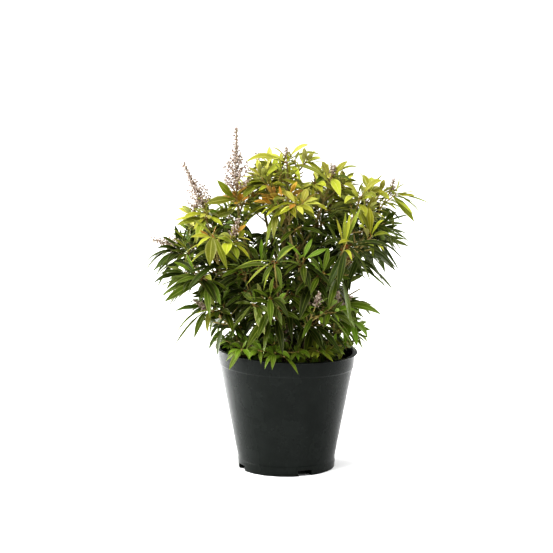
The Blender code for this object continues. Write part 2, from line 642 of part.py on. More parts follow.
def make_pot(parts):
    """A turned shell with a rim band and foot skirt, and four drainage channels under its floor."""
    profile = bpy.data.meshes.new("pot profile")
    points = [(radius, 0, height) for radius, height in pot_profile()]
    edges = [(i, (i + 1) % len(points)) for i in range(len(points))
             if points[i][0] or points[(i + 1) % len(points)][0]]
    profile.from_pydata(points, edges, [])
    pot = add_object("pot", profile, parts)
    screw = pot.modifiers.new("turned", "SCREW")
    screw.steps = screw.render_steps = POT_SIDES
    screw.use_merge_vertices = True
    screw.merge_threshold = 0.00005
    apply_modifiers(pot)
    for vertex in pot.data.vertices:
        vertex.co.z -= RIM_SAG * (vertex.co.x / LIP_RADIUS) * (vertex.co.z / POT_HEIGHT)
    ridges = add_collection("pot ridges", helper=True)
    channels = add_collection("pot channels", helper=True)
    for angle in CHANNEL_ANGLES:
        turned = Matrix.Rotation(math.radians(angle), 4, "Z")
        add_channel(ridges, turned, CHANNEL_START, SKIRT_RADIUS - 0.0014, CHANNEL_WIDTH + 2 * WALL,
                    FOOT_ROUND, CHANNEL_HEIGHT + WALL)
        add_channel(channels, turned, CHANNEL_START + WALL, SKIRT_RADIUS + CHANNEL_PAST, CHANNEL_WIDTH,
                    -CHANNEL_PAST, CHANNEL_HEIGHT)
        add_drain(channels, turned)
    boolean(pot, "UNION", ridges)
    boolean(pot, "DIFFERENCE", channels)
    apply_modifiers(pot, ridges, channels)
    return pot


def add_channel(collection, turned, near, far, width, low, high):
    shape = bmesh.new()
    bmesh.ops.create_cube(shape, size=1)
    bmesh.ops.scale(shape, vec=(far - near, width, high - low), verts=shape.verts)
    bmesh.ops.translate(shape, vec=((near + far) / 2, 0, (low + high) / 2), verts=shape.verts)
    bmesh.ops.transform(shape, matrix=turned, verts=shape.verts)
    mesh = bpy.data.meshes.new("channel")
    shape.to_mesh(mesh)
    shape.free()
    as_helper(add_object("channel", mesh, collection))


def add_drain(collection, turned):
    shape = bmesh.new()
    bmesh.ops.create_cone(shape, cap_ends=True, segments=12, radius1=DRAIN_RADIUS, radius2=DRAIN_RADIUS,
                          depth=DRAIN_DEPTH)
    bmesh.ops.translate(shape, vec=((CHANNEL_START + SKIRT_RADIUS) / 2, 0, CHANNEL_HEIGHT),
                        verts=shape.verts)
    bmesh.ops.transform(shape, matrix=turned, verts=shape.verts)
    mesh = bpy.data.meshes.new("drain")
    shape.to_mesh(mesh)
    shape.free()
    as_helper(add_object("drain", mesh, collection))


def make_compost(parts):
    def inner_radius(height):
        share = (height - SKIRT_HEIGHT) / (POT_HEIGHT - BAND_DEPTH - SKIRT_HEIGHT)
        return blend(WALL_FOOT_RADIUS, WALL_TOP_RADIUS, share) - WALL - COMPOST_SLACK
    shape = bmesh.new()
    bmesh.ops.create_cone(shape, cap_ends=True, segments=POT_SIDES, radius1=inner_radius(COMPOST_FOOT),
                          radius2=inner_radius(COMPOST_TOP) - 0.0006, depth=COMPOST_TOP - COMPOST_FOOT)
    bmesh.ops.translate(shape, vec=(0, 0, (COMPOST_TOP + COMPOST_FOOT) / 2), verts=shape.verts)
    mesh = bpy.data.meshes.new("compost")
    shape.to_mesh(mesh)
    shape.free()
    return add_object("compost", mesh, parts)


# Plant
def make_leaf(leaf, template, collection):
    mesh = template.copy()
    for vertex, corner in zip(mesh.vertices, leaf_corners(leaf, template)):
        vertex.co = corner
    return add_object("leaf", mesh, collection)


def make_mass(name, frame, leaves, template, section, parts, stem_cutter=None):
    """Twigs and leaves joined by one union, and cut clear of the stem if they grow straight from it."""
    loose = add_collection(f"loose {name}", helper=True)
    twigs = [limb_curve(f"twig {name}", twig, loose, section) for twig in frame["twigs"]]
    mass = curves_to_meshes(twigs)[0]
    for leaf in leaves:
        make_leaf(leaf, template, loose)
    loose.objects.unlink(mass)
    parts.objects.link(mass)
    mass.name = mass.data.name = f"foliage_{name}"
    boolean(mass, "UNION", loose, "MANIFOLD")
    if stem_cutter:
        boolean(mass, "DIFFERENCE", stem_cutter, "MANIFOLD")
    apply_modifiers(mass, loose)
    return mass


def make_section(cutters):
    """The three-sided outline that is drawn along each twig."""
    outline = bpy.data.curves.new("three-sided section", "CURVE")
    outline.dimensions = "2D"
    ring = outline.splines.new("POLY")
    ring.points.add(2)
    ring.use_cyclic_u = True
    for i, knot in enumerate(ring.points):
        turn = math.radians(120 * i)
        knot.co = (SECTION_RADIUS * math.cos(turn), SECTION_RADIUS * math.sin(turn), 0, 1)
    section = add_object("three-sided section", outline, cutters)
    as_helper(section)
    return section


def make_stem_cutters(stems, cutters):
    """For each stem a copy that is thicker and longer by the gap, to cut what meets it."""
    curves = []
    for name, stem in stems.items():
        tip_way = (stem["points"][-1] - stem["points"][-2]).normalized()
        longer = dict(stem, points=stem["points"][:-1] + [stem["points"][-1] + tip_way * GAP])
        curves.append(limb_curve(f"clearance_{name}", longer, cutters, thicker=GAP))
    made = curves_to_meshes(curves)
    for helper in made:
        as_helper(helper)
    return dict(zip(stems, made))


def make_wood(stems, frames, parts, stem_cutters):
    bark = paint("bark", BARK_COLOUR, 0.85)
    stem_curves = [limb_curve(f"stem_{name}", stem, parts) for name, stem in stems.items()]
    for solid in curves_to_meshes(stem_curves):
        solid.data.materials.append(bark)
    names = [name for name in MASSES if frames[name]["bough"]]
    bough_curves = [limb_curve(f"bough_{name}", frames[name]["bough"], parts) for name in names]
    for name, solid in zip(names, curves_to_meshes(bough_curves)):
        solid.data.materials.append(bark)
        boolean(solid, "DIFFERENCE", stem_cutters[MASSES[name]["stem"]])


def make_plant(parts, cutters):
    template = leaf_template()
    stems, frames, leaves = grow_plant(template)
    section = make_section(cutters)
    stem_cutters = make_stem_cutters(stems, cutters)
    make_wood(stems, frames, parts, stem_cutters)
    tints = {tint: paint(f"leaf {tint}", colour, 0.4) for tint, colour in TINTS.items()}
    for name, mass in MASSES.items():
        own = [leaf for leaf in leaves if leaf["mass"] == name]
        cutter = None if frames[name]["bough"] else stem_cutters[mass["stem"]]
        solid = make_mass(name, frames[name], own, template, section, parts, cutter)
        solid.data.materials.clear()
        solid.data.materials.append(tints[mass["tint"]])
    print(f"{len(leaves)} leaves on {sum(len(f['shoots']) for f in frames.values())} shoots")


def main():
    for thing in list(bpy.data.objects):
        bpy.data.objects.remove(thing)
    parts = add_collection("pieris shrub")
    cutters = add_collection("cutters", helper=True)
    pot = make_pot(parts)
    pot.data.materials.append(paint("pot plastic", POT_COLOUR, 0.42))
    compost = make_compost(parts)
    compost.data.materials.append(paint("compost", COMPOST_COLOUR, 0.95))
    for turned in (pot, compost):
        turned.data.shade_smooth()
        turned.data.set_sharp_from_angle(angle=math.radians(30))
    make_plant(parts, cutters)


if __name__ == "__main__":
    main()
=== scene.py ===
import json
import math
import random

import bmesh
import bpy
import numpy as np
from mathutils import Matrix, Vector, kdtree, noise
from mathutils.bvhtree import BVHTree
from mathutils.geometry import interpolate_bezier

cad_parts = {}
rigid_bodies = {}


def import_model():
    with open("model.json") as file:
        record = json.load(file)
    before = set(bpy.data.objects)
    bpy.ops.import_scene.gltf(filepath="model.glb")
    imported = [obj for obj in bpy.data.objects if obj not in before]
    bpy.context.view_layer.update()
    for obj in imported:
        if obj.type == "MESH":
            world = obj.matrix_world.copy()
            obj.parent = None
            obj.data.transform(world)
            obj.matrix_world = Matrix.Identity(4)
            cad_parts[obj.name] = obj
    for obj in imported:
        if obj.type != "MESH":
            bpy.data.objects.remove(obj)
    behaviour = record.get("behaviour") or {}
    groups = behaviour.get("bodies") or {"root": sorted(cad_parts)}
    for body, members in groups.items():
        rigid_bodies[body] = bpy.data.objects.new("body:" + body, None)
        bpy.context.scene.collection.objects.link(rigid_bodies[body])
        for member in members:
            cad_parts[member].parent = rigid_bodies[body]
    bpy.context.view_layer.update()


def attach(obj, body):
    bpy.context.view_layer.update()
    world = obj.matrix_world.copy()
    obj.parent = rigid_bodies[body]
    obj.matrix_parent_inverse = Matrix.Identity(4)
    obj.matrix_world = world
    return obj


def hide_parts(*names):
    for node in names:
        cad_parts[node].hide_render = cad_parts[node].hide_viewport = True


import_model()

up = Vector((0, 0, 1))
towardsFront = Vector((0, -1, 0))
gap = 0.0003
goldenAngle = 137.5

# Pot and compost sizes that the plant has to keep clear of
potPlan = dict(height=0.160, lip=0.095, lipThick=0.0016, band=0.0915, bandDepth=0.0205, bandTaper=0.0012,
               wallTop=0.0889, wallFoot=0.0648, skirt=0.0652, skirtHeight=0.0125, wall=0.0018,
               floor=0.0022, sag=0.0040, sides=144, compostTop=0.141)

# Stems: where each leaves the compost, where it ends, its radius above the root flare
stemPlan = {
    "centre": dict(foot=(0.004, 0.005), tip=(-0.003, 0.006, 0.292), radius=0.0047),
    "left": dict(foot=(-0.021, -0.003), tip=(-0.066, -0.014, 0.258), radius=0.0040),
    "right": dict(foot=(0.023, 0.001), tip=(0.066, -0.006, 0.266), radius=0.0040),
    "front": dict(foot=(0.003, -0.021), tip=(0.018, -0.054, 0.286), radius=0.0038),
    "back": dict(foot=(-0.004, 0.027), tip=(0.002, 0.064, 0.260), radius=0.0042),
}

# Masses of foliage, as in the construction, by the stem that carries them: place of the leading tip, its
# lean as degrees round and from upright, where the limb forks off the stem, shoots, their fan in degrees,
# leaf length, leaves in a whorl and tint. Then what only some masses have:
#   bough      False where a twig grows straight from the stem
#   spread, upright  degrees from the shoot of the oldest and the youngest leaf
#   raceme     length, degrees round and from upright of the leading raceme; posy the length of the side ones
#   finer      side twigs on each shoot; more, further leaves past the whorl; old, last year's at the fork
#   young, youth  tint of the youngest leaves and the age that they reach to; sink scales the drooping
massColumns = ("at", "lean", "fork", "shoots", "fan", "leaf", "whorl", "tint")
massRows = {
    "centre": {
        "summit": ((0.001, 0.013, 0.415), (100, 6), 1.0, 3, 44, 0.052, 7, "lime",
            dict(bough=False, spread=84, raceme=(0.012, 120, 8), old=2)),
        "left_crest": ((-0.033, -0.010, 0.394), (190, 20), 0.86, 2, 40, 0.056, 8, "lime",
            dict(spread=84, old=2)),
        "right_crest": ((0.060, 0.010, 0.393), (20, 18), 0.76, 3, 42, 0.054, 6, "lime",
            dict(spread=80, raceme=(0.01, 20, 20), old=2)),
        "back_crest": ((-0.036, 0.068, 0.382), (115, 20), 0.6, 3, 44, 0.056, 5, "lime",
            dict(raceme=(0.028, 110, 12), more=14)),
        "mid_spike": ((-0.066, -0.012, 0.374), (180, 5), 0.48, 2, 38, 0.046, 8, "bronze",
            dict(spread=66, raceme=(0.082, 90, 2), old=5, young="bronze", youth=0.7)),
    },
    "left": {
        "left_spike": ((-0.109, -0.006, 0.350), (195, 14), 1.0, 2, 40, 0.050, 7, "lime",
            dict(raceme=(0.064, 180, 24), posy=0.02, old=2)),
        "left_lime": ((-0.096, -0.068, 0.326), (245, 22), 0.86, 2, 42, 0.056, 7, "lime",
            dict(posy=0.022, young="bronze")),
        "left_wing": ((-0.144, -0.008, 0.298), (172, 42), 0.72, 2, 45, 0.060, 7, "dark",
            dict(raceme=(0.034, 180, 72), finer=3, more=18)),
        "left_reach": ((-0.130, -0.044, 0.270), (200, 50), 0.6, 2, 40, 0.068, 7, "dark",
            dict(more=10, old=3, sink=0.7)),
        "left_skirt": ((-0.106, -0.050, 0.226), (200, 52), 0.44, 2, 38, 0.064, 6, "mid",
            dict(bough=False, raceme=(0.016, 200, 60), old=3, sink=0.7)),
        "rim_left": ((-0.066, -0.042, 0.184), (215, 42), 0.2, 2, 50, 0.038, 5, "fresh", dict(bough=False)),
        "core_left": ((-0.048, 0.022, 0.290), (200, 12), 0.32, 2, 56, 0.066, 6, "dark",
            dict(bough=False, more=14)),
    },
    "right": {
        "shoulder": ((0.098, -0.028, 0.370), (330, 22), 1.0, 2, 42, 0.058, 7, "lime",
            dict(spread=84, old=2)),
        "far_right": ((0.138, 0.004, 0.372), (8, 30), 0.86, 2, 44, 0.064, 7, "lime",
            dict(raceme=(0.014, 20, 15), old=2)),
        "right_wing": ((0.112, -0.056, 0.322), (335, 42), 0.74, 2, 44, 0.070, 8, "dark",
            dict(more=-2, old=0, young="lime", youth=0.55, sink=1.5)),
        "right_low": ((0.068, -0.064, 0.232), (325, 52), 0.55, 2, 40, 0.066, 5, "mid",
            dict(raceme=(0.024, 320, 60))),
        "right_skirt": ((0.086, -0.040, 0.206), (335, 52), 0.38, 3, 46, 0.045, 5, "fresh",
            dict(bough=False)),
        "rim_right": ((0.056, -0.058, 0.183), (315, 42), 0.18, 2, 50, 0.038, 5, "fresh",
            dict(bough=False)),
        "core_right": ((0.048, 0.026, 0.300), (340, 12), 0.28, 2, 56, 0.066, 6, "dark",
            dict(bough=False, more=14)),
    },
    "front": {
        "mid_crest": ((0.003, -0.047, 0.374), (262, 10), 1.0, 3, 40, 0.052, 6, "lime",
            dict(finer=1, old=0, young="bronze", youth=0.34)),
        "heart": ((0.022, -0.078, 0.296), (275, 26), 0.86, 2, 50, 0.066, 7, "dark",
            dict(bough=False, finer=1, more=14, upright=58)),
        "right_fan": ((0.078, -0.088, 0.318), (305, 34), 0.74, 1, 40, 0.074, 12, "dark",
            dict(finer=0, more=0, old=0, upright=34)),
        "front_star": ((-0.016, -0.118, 0.300), (262, 32), 0.63, 1, 40, 0.068, 11, "mid",
            dict(finer=0, more=4, old=0, upright=34)),
        "inner_left": ((-0.060, -0.078, 0.286), (235, 28), 0.5, 2, 42, 0.062, 7, "dark",
            dict(bough=False)),
        "front_buds": ((0.038, -0.104, 0.238), (292, 42), 0.4, 2, 42, 0.054, 6, "mid",
            dict(bough=False, raceme=(0.024, 285, 40), posy=0.018)),
        "front_low": ((-0.022, -0.108, 0.250), (258, 46), 0.3, 2, 42, 0.058, 6, "mid", dict(bough=False)),
        "rim_front": ((-0.016, -0.076, 0.184), (266, 48), 0.14, 3, 52, 0.037, 5, "fresh",
            dict(bough=False)),
    },
    "back": {
        "back_shoulder": ((0.058, 0.078, 0.368), (60, 24), 1.0, 3, 44, 0.060, 5, "lime",
            dict(raceme=(0.026, 60, 14), more=14)),
        "back_left": ((-0.104, 0.068, 0.322), (150, 36), 0.86, 3, 44, 0.064, 5, "mid", dict(more=14)),
        "back_middle": ((0.006, 0.120, 0.312), (88, 36), 0.74, 3, 44, 0.064, 5, "dark", dict(more=14)),
        "back_right": ((0.118, 0.066, 0.316), (32, 38), 0.63, 3, 44, 0.066, 5, "dark", dict(more=14)),
        "back_low_left": ((-0.074, 0.084, 0.238), (135, 50), 0.5, 3, 44, 0.062, 5, "mid",
            dict(bough=False, more=14)),
        "back_low_right": ((0.080, 0.078, 0.234), (48, 50), 0.38, 3, 44, 0.062, 5, "mid",
            dict(bough=False, more=14)),
        "rim_back": ((0.004, 0.076, 0.186), (90, 48), 0.2, 2, 52, 0.038, 5, "fresh", dict(bough=False)),
    },
}
massPlan = {name: dict(zip(massColumns, row), stem=stem, **row[-1])
            for stem, rows in massRows.items() for name, row in rows.items()}

# Leaves that make the outline on a leading rosette: degrees round, degrees from upright, length, sinking
outlineLeaves = {
    "left_crest": [(185, 60, 0.050, 0.15), (175, 88, 0.052, 0.20)],
    "mid_spike": [(205, 42, 0.046, 0.05), (340, 48, 0.040, 0.10), (190, 84, 0.046, 0.25)],
    "left_spike": [(355, 62, 0.046, 0.15), (200, 88, 0.046, 0.25), (340, 84, 0.044, 0.30)],
}

# Rosettes whose leaves are told one by one, all in thousandths: the place of the rosette's end, None for
# the mass's own leading tip, then each leaf as its tip in x, y and z, sinking, width as a share of length,
# and tint
rosettes = {
    "summit": [
        (None, [(-19, 6, 430, 200, 220, "pale"), (30, 8, 432, 300, 170, "pale"),
            (46, 4, 419, 350, 81, "olive"), (51, -4, 392, 350, 81, "mid"), (53, -12, 378, 500, 81, "olive"),
            (-34, 10, 412, 400, 300, "pale"), (-55, 0, 410, 400, 200, "lime"),
            (34, 0, 407, 250, 99, "lime"), (-27, -20, 393, 400, 220, "lime"),
            (18, -30, 390, 400, 180, "lime")]),
    ],
    "right_crest": [
        (None, [(77, 6, 413, 100, 300, "lime"), (48, 6, 412, 150, 280, "pale"),
            (22, -4, 404, 250, 190, "lime"), (97, 0, 402, 400, 75, "olive"),
            (85, -10, 387, 400, 180, "mid"), (39, -12, 384, 400, 240, "mid"),
            (70, -35, 368, 500, 240, "lime")]),
    ],
    "shoulder": [
        (None, [(125, -36, 391, 300, 260, "lime"), (75, -36, 387, 300, 260, "lime"),
            (117, -56, 370, 400, 260, "olive"), (77, -60, 364, 400, 300, "lime"),
            (130, -34, 376, 300, 220, "lime")]),
    ],
    "far_right": [
        (None, [(193, 4, 356, 60, 81, "olive"), (178, -4, 342, 350, 75, "olive"),
            (169, -10, 332, 200, 240, "olive"), (172, 4, 364, 200, 93, "olive"),
            (157, 8, 387, 250, 87, "olive"), (173, 12, 352, 200, 75, "fresh")]),
    ],
    "right_fan": [
        (None, [(69, -104, 257, 120, 210, "dark"), (98, -104, 278, 750, 87, "dark"),
            (112, -104, 261, 750, 81, "mid"), (131, -100, 255, 750, 75, "dark"),
            (145, -92, 279, 650, 75, "dark"), (155, -86, 289, 600, 75, "dark"),
            (135, -82, 269, 650, 75, "dark"), (145, -78, 311, 400, 75, "dark"),
            (65, -84, 350, 100, 93, "lime"), (74, -80, 357, 100, 87, "olive"),
            (86, -80, 356, 100, 93, "lime"), (99, -72, 362, 150, 81, "olive"),
            (41, -92, 331, 250, 81, "dark"), (46, -104, 316, 400, 81, "dark"),
            (51, -80, 344, 100, 81, "mid"), (84, -124, 299, 500, 99, "lime")]),
    ],
    "right_wing": [
        (None, [(86, -76, 344, 300, 200, "lime"), (92, -66, 359, 200, 190, "olive"),
            (110, -56, 360, 150, 200, "lime"), (127, -56, 343, 300, 200, "lime"),
            (138, -56, 319, 500, 200, "olive"), (127, -70, 303, 500, 190, "lime"),
            (111, -84, 297, 600, 190, "olive"), (98, -90, 338, 300, 190, "pale")]),
    ],
    "left_wing": [
        (None, [(-190, -20, 264, 550, 75, "mid"), (-171, -30, 265, 650, 87, "dark"),
            (-179, -16, 281, 450, 87, "dark"), (-155, -4, 319, 100, 180, "dark"),
            (-129, -6, 326, 100, 99, "dark"), (-118, -12, 323, 100, 93, "mid"),
            (-141, 4, 321, 100, 99, "dark"), (-183, -24, 287, 500, 140, "dark"),
            (-173, -36, 270, 550, 150, "dark"), (-180, -20, 301, 350, 140, "dark"),
            (-158, -44, 277, 600, 170, "dark"), (-167, -20, 315, 200, 160, "mid")]),
    ],
    "left_reach": [
        (None, [(-170, -50, 247, 450, 99, "mid"), (-157, -48, 228, 550, 75, "dark"),
            (-158, -50, 262, 400, 87, "dark"), (-175, -56, 259, 350, 130, "dark"),
            (-158, -60, 249, 500, 160, "mid"), (-166, -58, 271, 300, 150, "dark")]),
    ],
    "left_skirt": [
        (None, [(-148, -56, 220, 200, 440, "mid"), (-148, -56, 187, 500, 75, "mid"),
            (-148, -60, 170, 300, 75, "mid"), (-123, -66, 187, 400, 220, "mid"),
            (-103, -70, 194, 500, 240, "olive")]),
    ],
    "left_lime": [
        (None, [(-102, -90, 288, 300, 380, "olive"), (-79, -92, 281, 400, 200, "olive"),
            (-123, -60, 345, 150, 200, "olive"), (-116, -84, 310, 400, 200, "lime"),
            (-66, -78, 312, 350, 180, "olive")]),
    ],
    "front_star": [
        (None, [(-52, -130, 267, 350, 75, "olive"), (-63, -126, 291, 300, 81, "olive"),
            (-32, -140, 265, 350, 81, "olive"), (22, -126, 291, 350, 93, "mid"),
            (15, -112, 318, 150, 87, "olive"), (-4, -162, 268, 400, 120, "mid"),
            (-30, -161, 276, 350, 120, "mid")]),
    ],
    "front_low": [
        (None, [(-20, -158, 222, 400, 160, "mid"), (2, -152, 230, 400, 140, "dark")]),
        ((-45, -104, 241), [(-29, -108, 200, 100, 300, "cream"), (-60, -104, 216, 400, 180, "mid")]),
    ],
    "right_low": [
        (None, [(125, -62, 219, 250, 270, "fresh"), (90, -74, 201, 500, 320, "fresh"),
            (98, -50, 238, 100, 200, "mid")]),
    ],
    "right_skirt": [
        (None, [(108, -42, 183, 500, 400, "fresh"), (93, -50, 173, 600, 360, "fresh"),
            (77, -60, 179, 600, 360, "fresh")]),
    ],
    "rim_left": [
        ((-84, -30, 179), [(-104, -30, 164, 750, 200, "mid"), (-99, -22, 179, 300, 240, "fresh")]),
        ((-59, -84, 176), [(-78, -94, 169, 500, 240, "fresh"), (-48, -102, 164, 600, 300, "fresh"),
            (-66, -100, 164, 700, 280, "fresh"), (-52, -80, 188, 0, 300, "fresh")]),
    ],
    "rim_front": [
        ((-37, -90, 176), [(-14, -98, 169, 500, 220, "fresh"), (-49, -101, 165, 600, 260, "fresh"),
            (-33, -103, 160, 700, 280, "fresh"), (-45, -84, 190, 0, 280, "fresh")]),
        ((-15, -92, 173), [(-34, -105, 155, 500, 260, "fresh"), (-19, -107, 153, 600, 300, "fresh"),
            (6, -102, 167, 500, 240, "fresh"), (-5, -86, 186, 0, 260, "fresh")]),
        ((-3, -94, 168), [(16, -107, 147, 450, 200, "fresh"), (-7, -106, 158, 700, 280, "fresh")]),
        ((16, -91, 174), [(6, -102, 164, 600, 300, "fresh"), (31, -101, 168, 600, 280, "fresh"),
            (19, -84, 188, 0, 260, "mid")]),
    ],
    "rim_right": [
        ((40, -88, 175), [(24, -98, 166, 600, 280, "olive"), (51, -98, 169, 600, 280, "fresh"),
            (41, -80, 189, 0, 260, "fresh")]),
        ((62, -72, 178), [(50, -86, 169, 600, 280, "olive"), (73, -80, 169, 600, 300, "fresh"),
            (66, -64, 194, 0, 300, "fresh")]),
        ((81, -44, 178), [(74, -56, 168, 600, 300, "fresh"), (93, -40, 167, 600, 300, "fresh"),
            (88, -36, 188, 50, 300, "fresh"), (69, -50, 188, 50, 300, "fresh"),
            (99, -30, 173, 200, 320, "olive"), (80, -62, 183, 300, 320, "fresh")]),
    ],
}

# Radii of the wood, a bough's share of its stem's radius, the root flare as heights and how much wider,
# how a limb leaves its stem and arrives, and the room that leaves give the wood
woodPlan = dict(stemTip=0.0024, boughTip=0.0016, shoot=0.0013, shootTip=0.0009, share=0.6, stalk=0.014,
                flare=((0.0, 1.7), (0.003, 1.3), (0.008, 1.05)), stemPulls=(0.45, 0.30), follow=0.3,
                pull=0.38, arrive=0.003, clearance=0.0007)

# Sky seen through the crown from the photo's place: left, low, right and high on the plane of the pot's axis
photoEye = Vector((-0.0131, -3.937, 0.966))
skyGaps = [(0.085, 0.227, 0.125, 0.251), (-0.050, 0.315, -0.022, 0.338),
           (-0.158, 0.169, -0.107, 0.196), (0.017, 0.384, 0.040, 0.404)]

# Reach of the crown and of a mass round its tip, tries for each leaf, room between leaves, steps of the
# beads along the wood, and what a mass has where its row says nothing
crownPlan = dict(left=-0.1905, right=0.1945, depth=0.180, lowest=0.162, overhang=0.015, tries=4,
                 reach=(1.12, 0.036), oldReach=0.012, aimedTries=16, cell=0.05, apart=0.0003, touch=0.0001,
                 stalkFree=0.22, beadStep=0.002, beadNear=0.006, leafSpan=0.62, more=8, sideLess=4, old=8,
                 innerLeaves=9)


def heading(azimuth, tilt):
    around = math.radians(azimuth)
    off = math.radians(tilt)
    return Vector((math.cos(around) * math.sin(off), math.sin(around) * math.sin(off), math.cos(off)))


def swung(axis, around, off):
    side = axis.orthogonal().normalized()
    side.rotate(Matrix.Rotation(math.radians(around), 3, axis))
    return (axis * math.cos(math.radians(off)) + side * math.sin(math.radians(off))).normalized()


def mix(a, b, share):
    return a + (b - a) * share


def wander(rng, most):
    return rng.uniform(-most, most)


def inMetres(place):
    return Vector([length / 1000 for length in place])


def meshFrom(name, shape):
    mesh = bpy.data.meshes.new(name)
    shape.to_mesh(mesh)
    shape.free()
    return mesh


def addPiece(name, mesh, sharp=None):
    if sharp:
        mesh.shade_smooth()
        mesh.set_sharp_from_angle(angle=math.radians(sharp))
    piece = bpy.data.objects.new(name, mesh)
    bpy.context.scene.collection.objects.link(piece)
    return piece


def alongPoints(points, share):
    place = share * (len(points) - 1)
    first = min(int(place), len(points) - 2)
    return points[first].lerp(points[first + 1], place - first)


def curvePoints(start, startPull, end, endPull, count):
    return interpolate_bezier(start, start + startPull, end - endPull, end, count)


# Growth of the wood
def growStem(facts):
    foot = Vector((*facts["foot"], potPlan["compostTop"] + gap))
    tip = Vector(facts["tip"])
    rise = tip.z - foot.z
    leave, arrive = woodPlan["stemPulls"]
    rest = curvePoints(foot, up * rise * leave, tip, up * rise * arrive, 7)
    radius = facts["radius"]
    points = [foot + up * height for height, _ in woodPlan["flare"]] + rest[1:]
    tapered = [mix(radius, woodPlan["stemTip"], (p.z - foot.z) / rise) for p in rest[1:]]
    return dict(points=points, radii=[radius * wider for _, wider in woodPlan["flare"]] + tapered)


def limbTo(stem, mass, end, endWay, endRadius):
    start = alongPoints(stem["points"][2:], mass["fork"])
    stemWay = (stem["points"][-1] - stem["points"][-2]).normalized()
    arrive = end - endWay * woodPlan["arrive"]
    straight = arrive - start
    leave = (stemWay * woodPlan["follow"] + straight.normalized()).normalized()
    pull = straight.length * woodPlan["pull"]
    points = curvePoints(start, leave * pull, arrive, endWay * pull, 4) + [end]
    thick = mix(stem["radii"][2], woodPlan["stemTip"], mass["fork"]) * woodPlan["share"]
    radii = [mix(thick, endRadius, i / (len(points) - 1)) for i in range(len(points))]
    return dict(points=points, radii=radii)


# Shoots at a mass's fork: their length from the leaf's, and how they rise
shootPlan = dict(share=0.55, least=0.008, rise=0.25, lift=0.12, vary=(0.85, 1.1))


def growFrame(name, mass, stem):
    way = heading(*mass["lean"])
    leadTip = Vector(mass["at"])
    length = mass["leaf"] * shootPlan["share"] + shootPlan["least"]
    fork = leadTip - way * length
    foot = fork - way * woodPlan["stalk"]
    made = dict(bough=None, twigs=[], shoots=[], sprays=[], fork=fork, way=way)
    if mass.get("bough", True):
        made["bough"] = limbTo(stem, mass, foot, way, woodPlan["boughTip"])
        made["twigs"].append(dict(points=[foot + way * gap, fork + way * 0.001],
                                  radii=[woodPlan["boughTip"], woodPlan["shoot"]]))
    else:
        made["twigs"].append(limbTo(stem, mass, fork + way * 0.001, way, woodPlan["shoot"]))
    turn = random.Random(name).uniform(0, 360)
    for i in range(mass["shoots"]):
        rng = random.Random(f"{name} shoot {i}")
        if i == 0:
            tip, shootWay = leadTip, way
        else:
            sideWay = swung(way, turn + i * 360 / (mass["shoots"] - 1), mass["fan"])
            shootWay = (sideWay + up * shootPlan["rise"]).normalized()
            tip = fork + sideWay * length * rng.uniform(*shootPlan["vary"]) + up * length * shootPlan["lift"]
        shoot = dict(points=[fork, tip], radii=[woodPlan["shoot"], woodPlan["shootTip"]], way=shootWay)
        made["twigs"].append(shoot)
        made["shoots"].append(dict(shoot, scale=1.0))
    for i in range(mass["shoots"]):
        growSideTwigs(name, mass, made, i, length)
    growInnerTwigs(name, made)
    made["rosettes"] = [growRosette(made, place) if place else made["shoots"][0]
                        for place, _ in rosettes.get(name, [])]
    if "raceme" in mass:
        growRaceme(name, made, leadTip, way, *mass["raceme"])
    if "posy" in mass:
        for i, shoot in enumerate(made["shoots"][1:mass["shoots"]]):
            tip = shoot["points"][-1]
            growRaceme(f"{name} posy {i}", made, tip, shoot["way"], mass["posy"], i * 150, 20)
    return made


# Twig to a rosette's own end
rosettePlan = dict(pull=0.3, radii=(0.0012, 0.0012, 0.0011, 0.0011, 0.0010, 0.0009), scale=0.75)


def growRosette(made, place):
    end = inMetres(place)
    span = (end - made["fork"]).length
    ahead = ((end - made["fork"]).normalized() + up * shootPlan["rise"]).normalized()
    pull, radii = rosettePlan["pull"], rosettePlan["radii"]
    points = curvePoints(made["fork"], made["way"] * span * pull, end, ahead * span * pull, len(radii))
    twig = dict(points=points, radii=radii, way=ahead)
    made["twigs"].append(twig)
    made["shoots"].append(dict(twig, scale=rosettePlan["scale"]))
    return twig


# Low shoots that stand in a ring just inside the pot's mouth, as (azimuth from, to, step)
basalPlan = dict(arcs=((188, 352, 8), (10, 170, 16)), swing=5, near=0.050, nearVary=(-0.012, 0.010),
                 far=0.082, farVary=(-0.012, 0.006), low=0.158, high=0.178, rise=(0.5, 1.1),
                 scale=(0.68, 0.95), radii=(0.0012, 0.0011, 0.0010, 0.0009, 0.0008))


def growBasalShoots(frames):
    for first, last, step in basalPlan["arcs"]:
        for azimuth in range(first, last, step):
            rng = random.Random(f"basal {azimuth}")
            out = heading(azimuth + wander(rng, basalPlan["swing"]), 90)
            start = out * (basalPlan["near"] + rng.uniform(*basalPlan["nearVary"]))
            start.z = potPlan["compostTop"] + 2 * gap
            end = out * (basalPlan["far"] + rng.uniform(*basalPlan["farVary"]))
            end.z = rng.uniform(basalPlan["low"], basalPlan["high"])
            points = curvePoints(start, up * 0.012, end, (out + up * 0.2) * 0.008, len(basalPlan["radii"]))
            way = (out + up * rng.uniform(*basalPlan["rise"])).normalized()
            twig = dict(points=points, radii=basalPlan["radii"], way=way)
            name = min(("rim_left", "rim_front", "rim_right", "rim_back"),
                       key=lambda rim: (Vector(massPlan[rim]["at"]) - end).length)
            frames[name]["twigs"].append(twig)
            frames[name]["shoots"].append(dict(twig, scale=rng.uniform(*basalPlan["scale"]), basal=True))


# Side twigs: where they leave the shoot, degrees off it, their length as a share of the shoot's
sidePlan = dict(count=2, along=(0.25, 0.6), off=(38, 58), length=(0.42, 0.62), radii=(0.0009, 0.0007),
                scale=(0.68, 0.86))


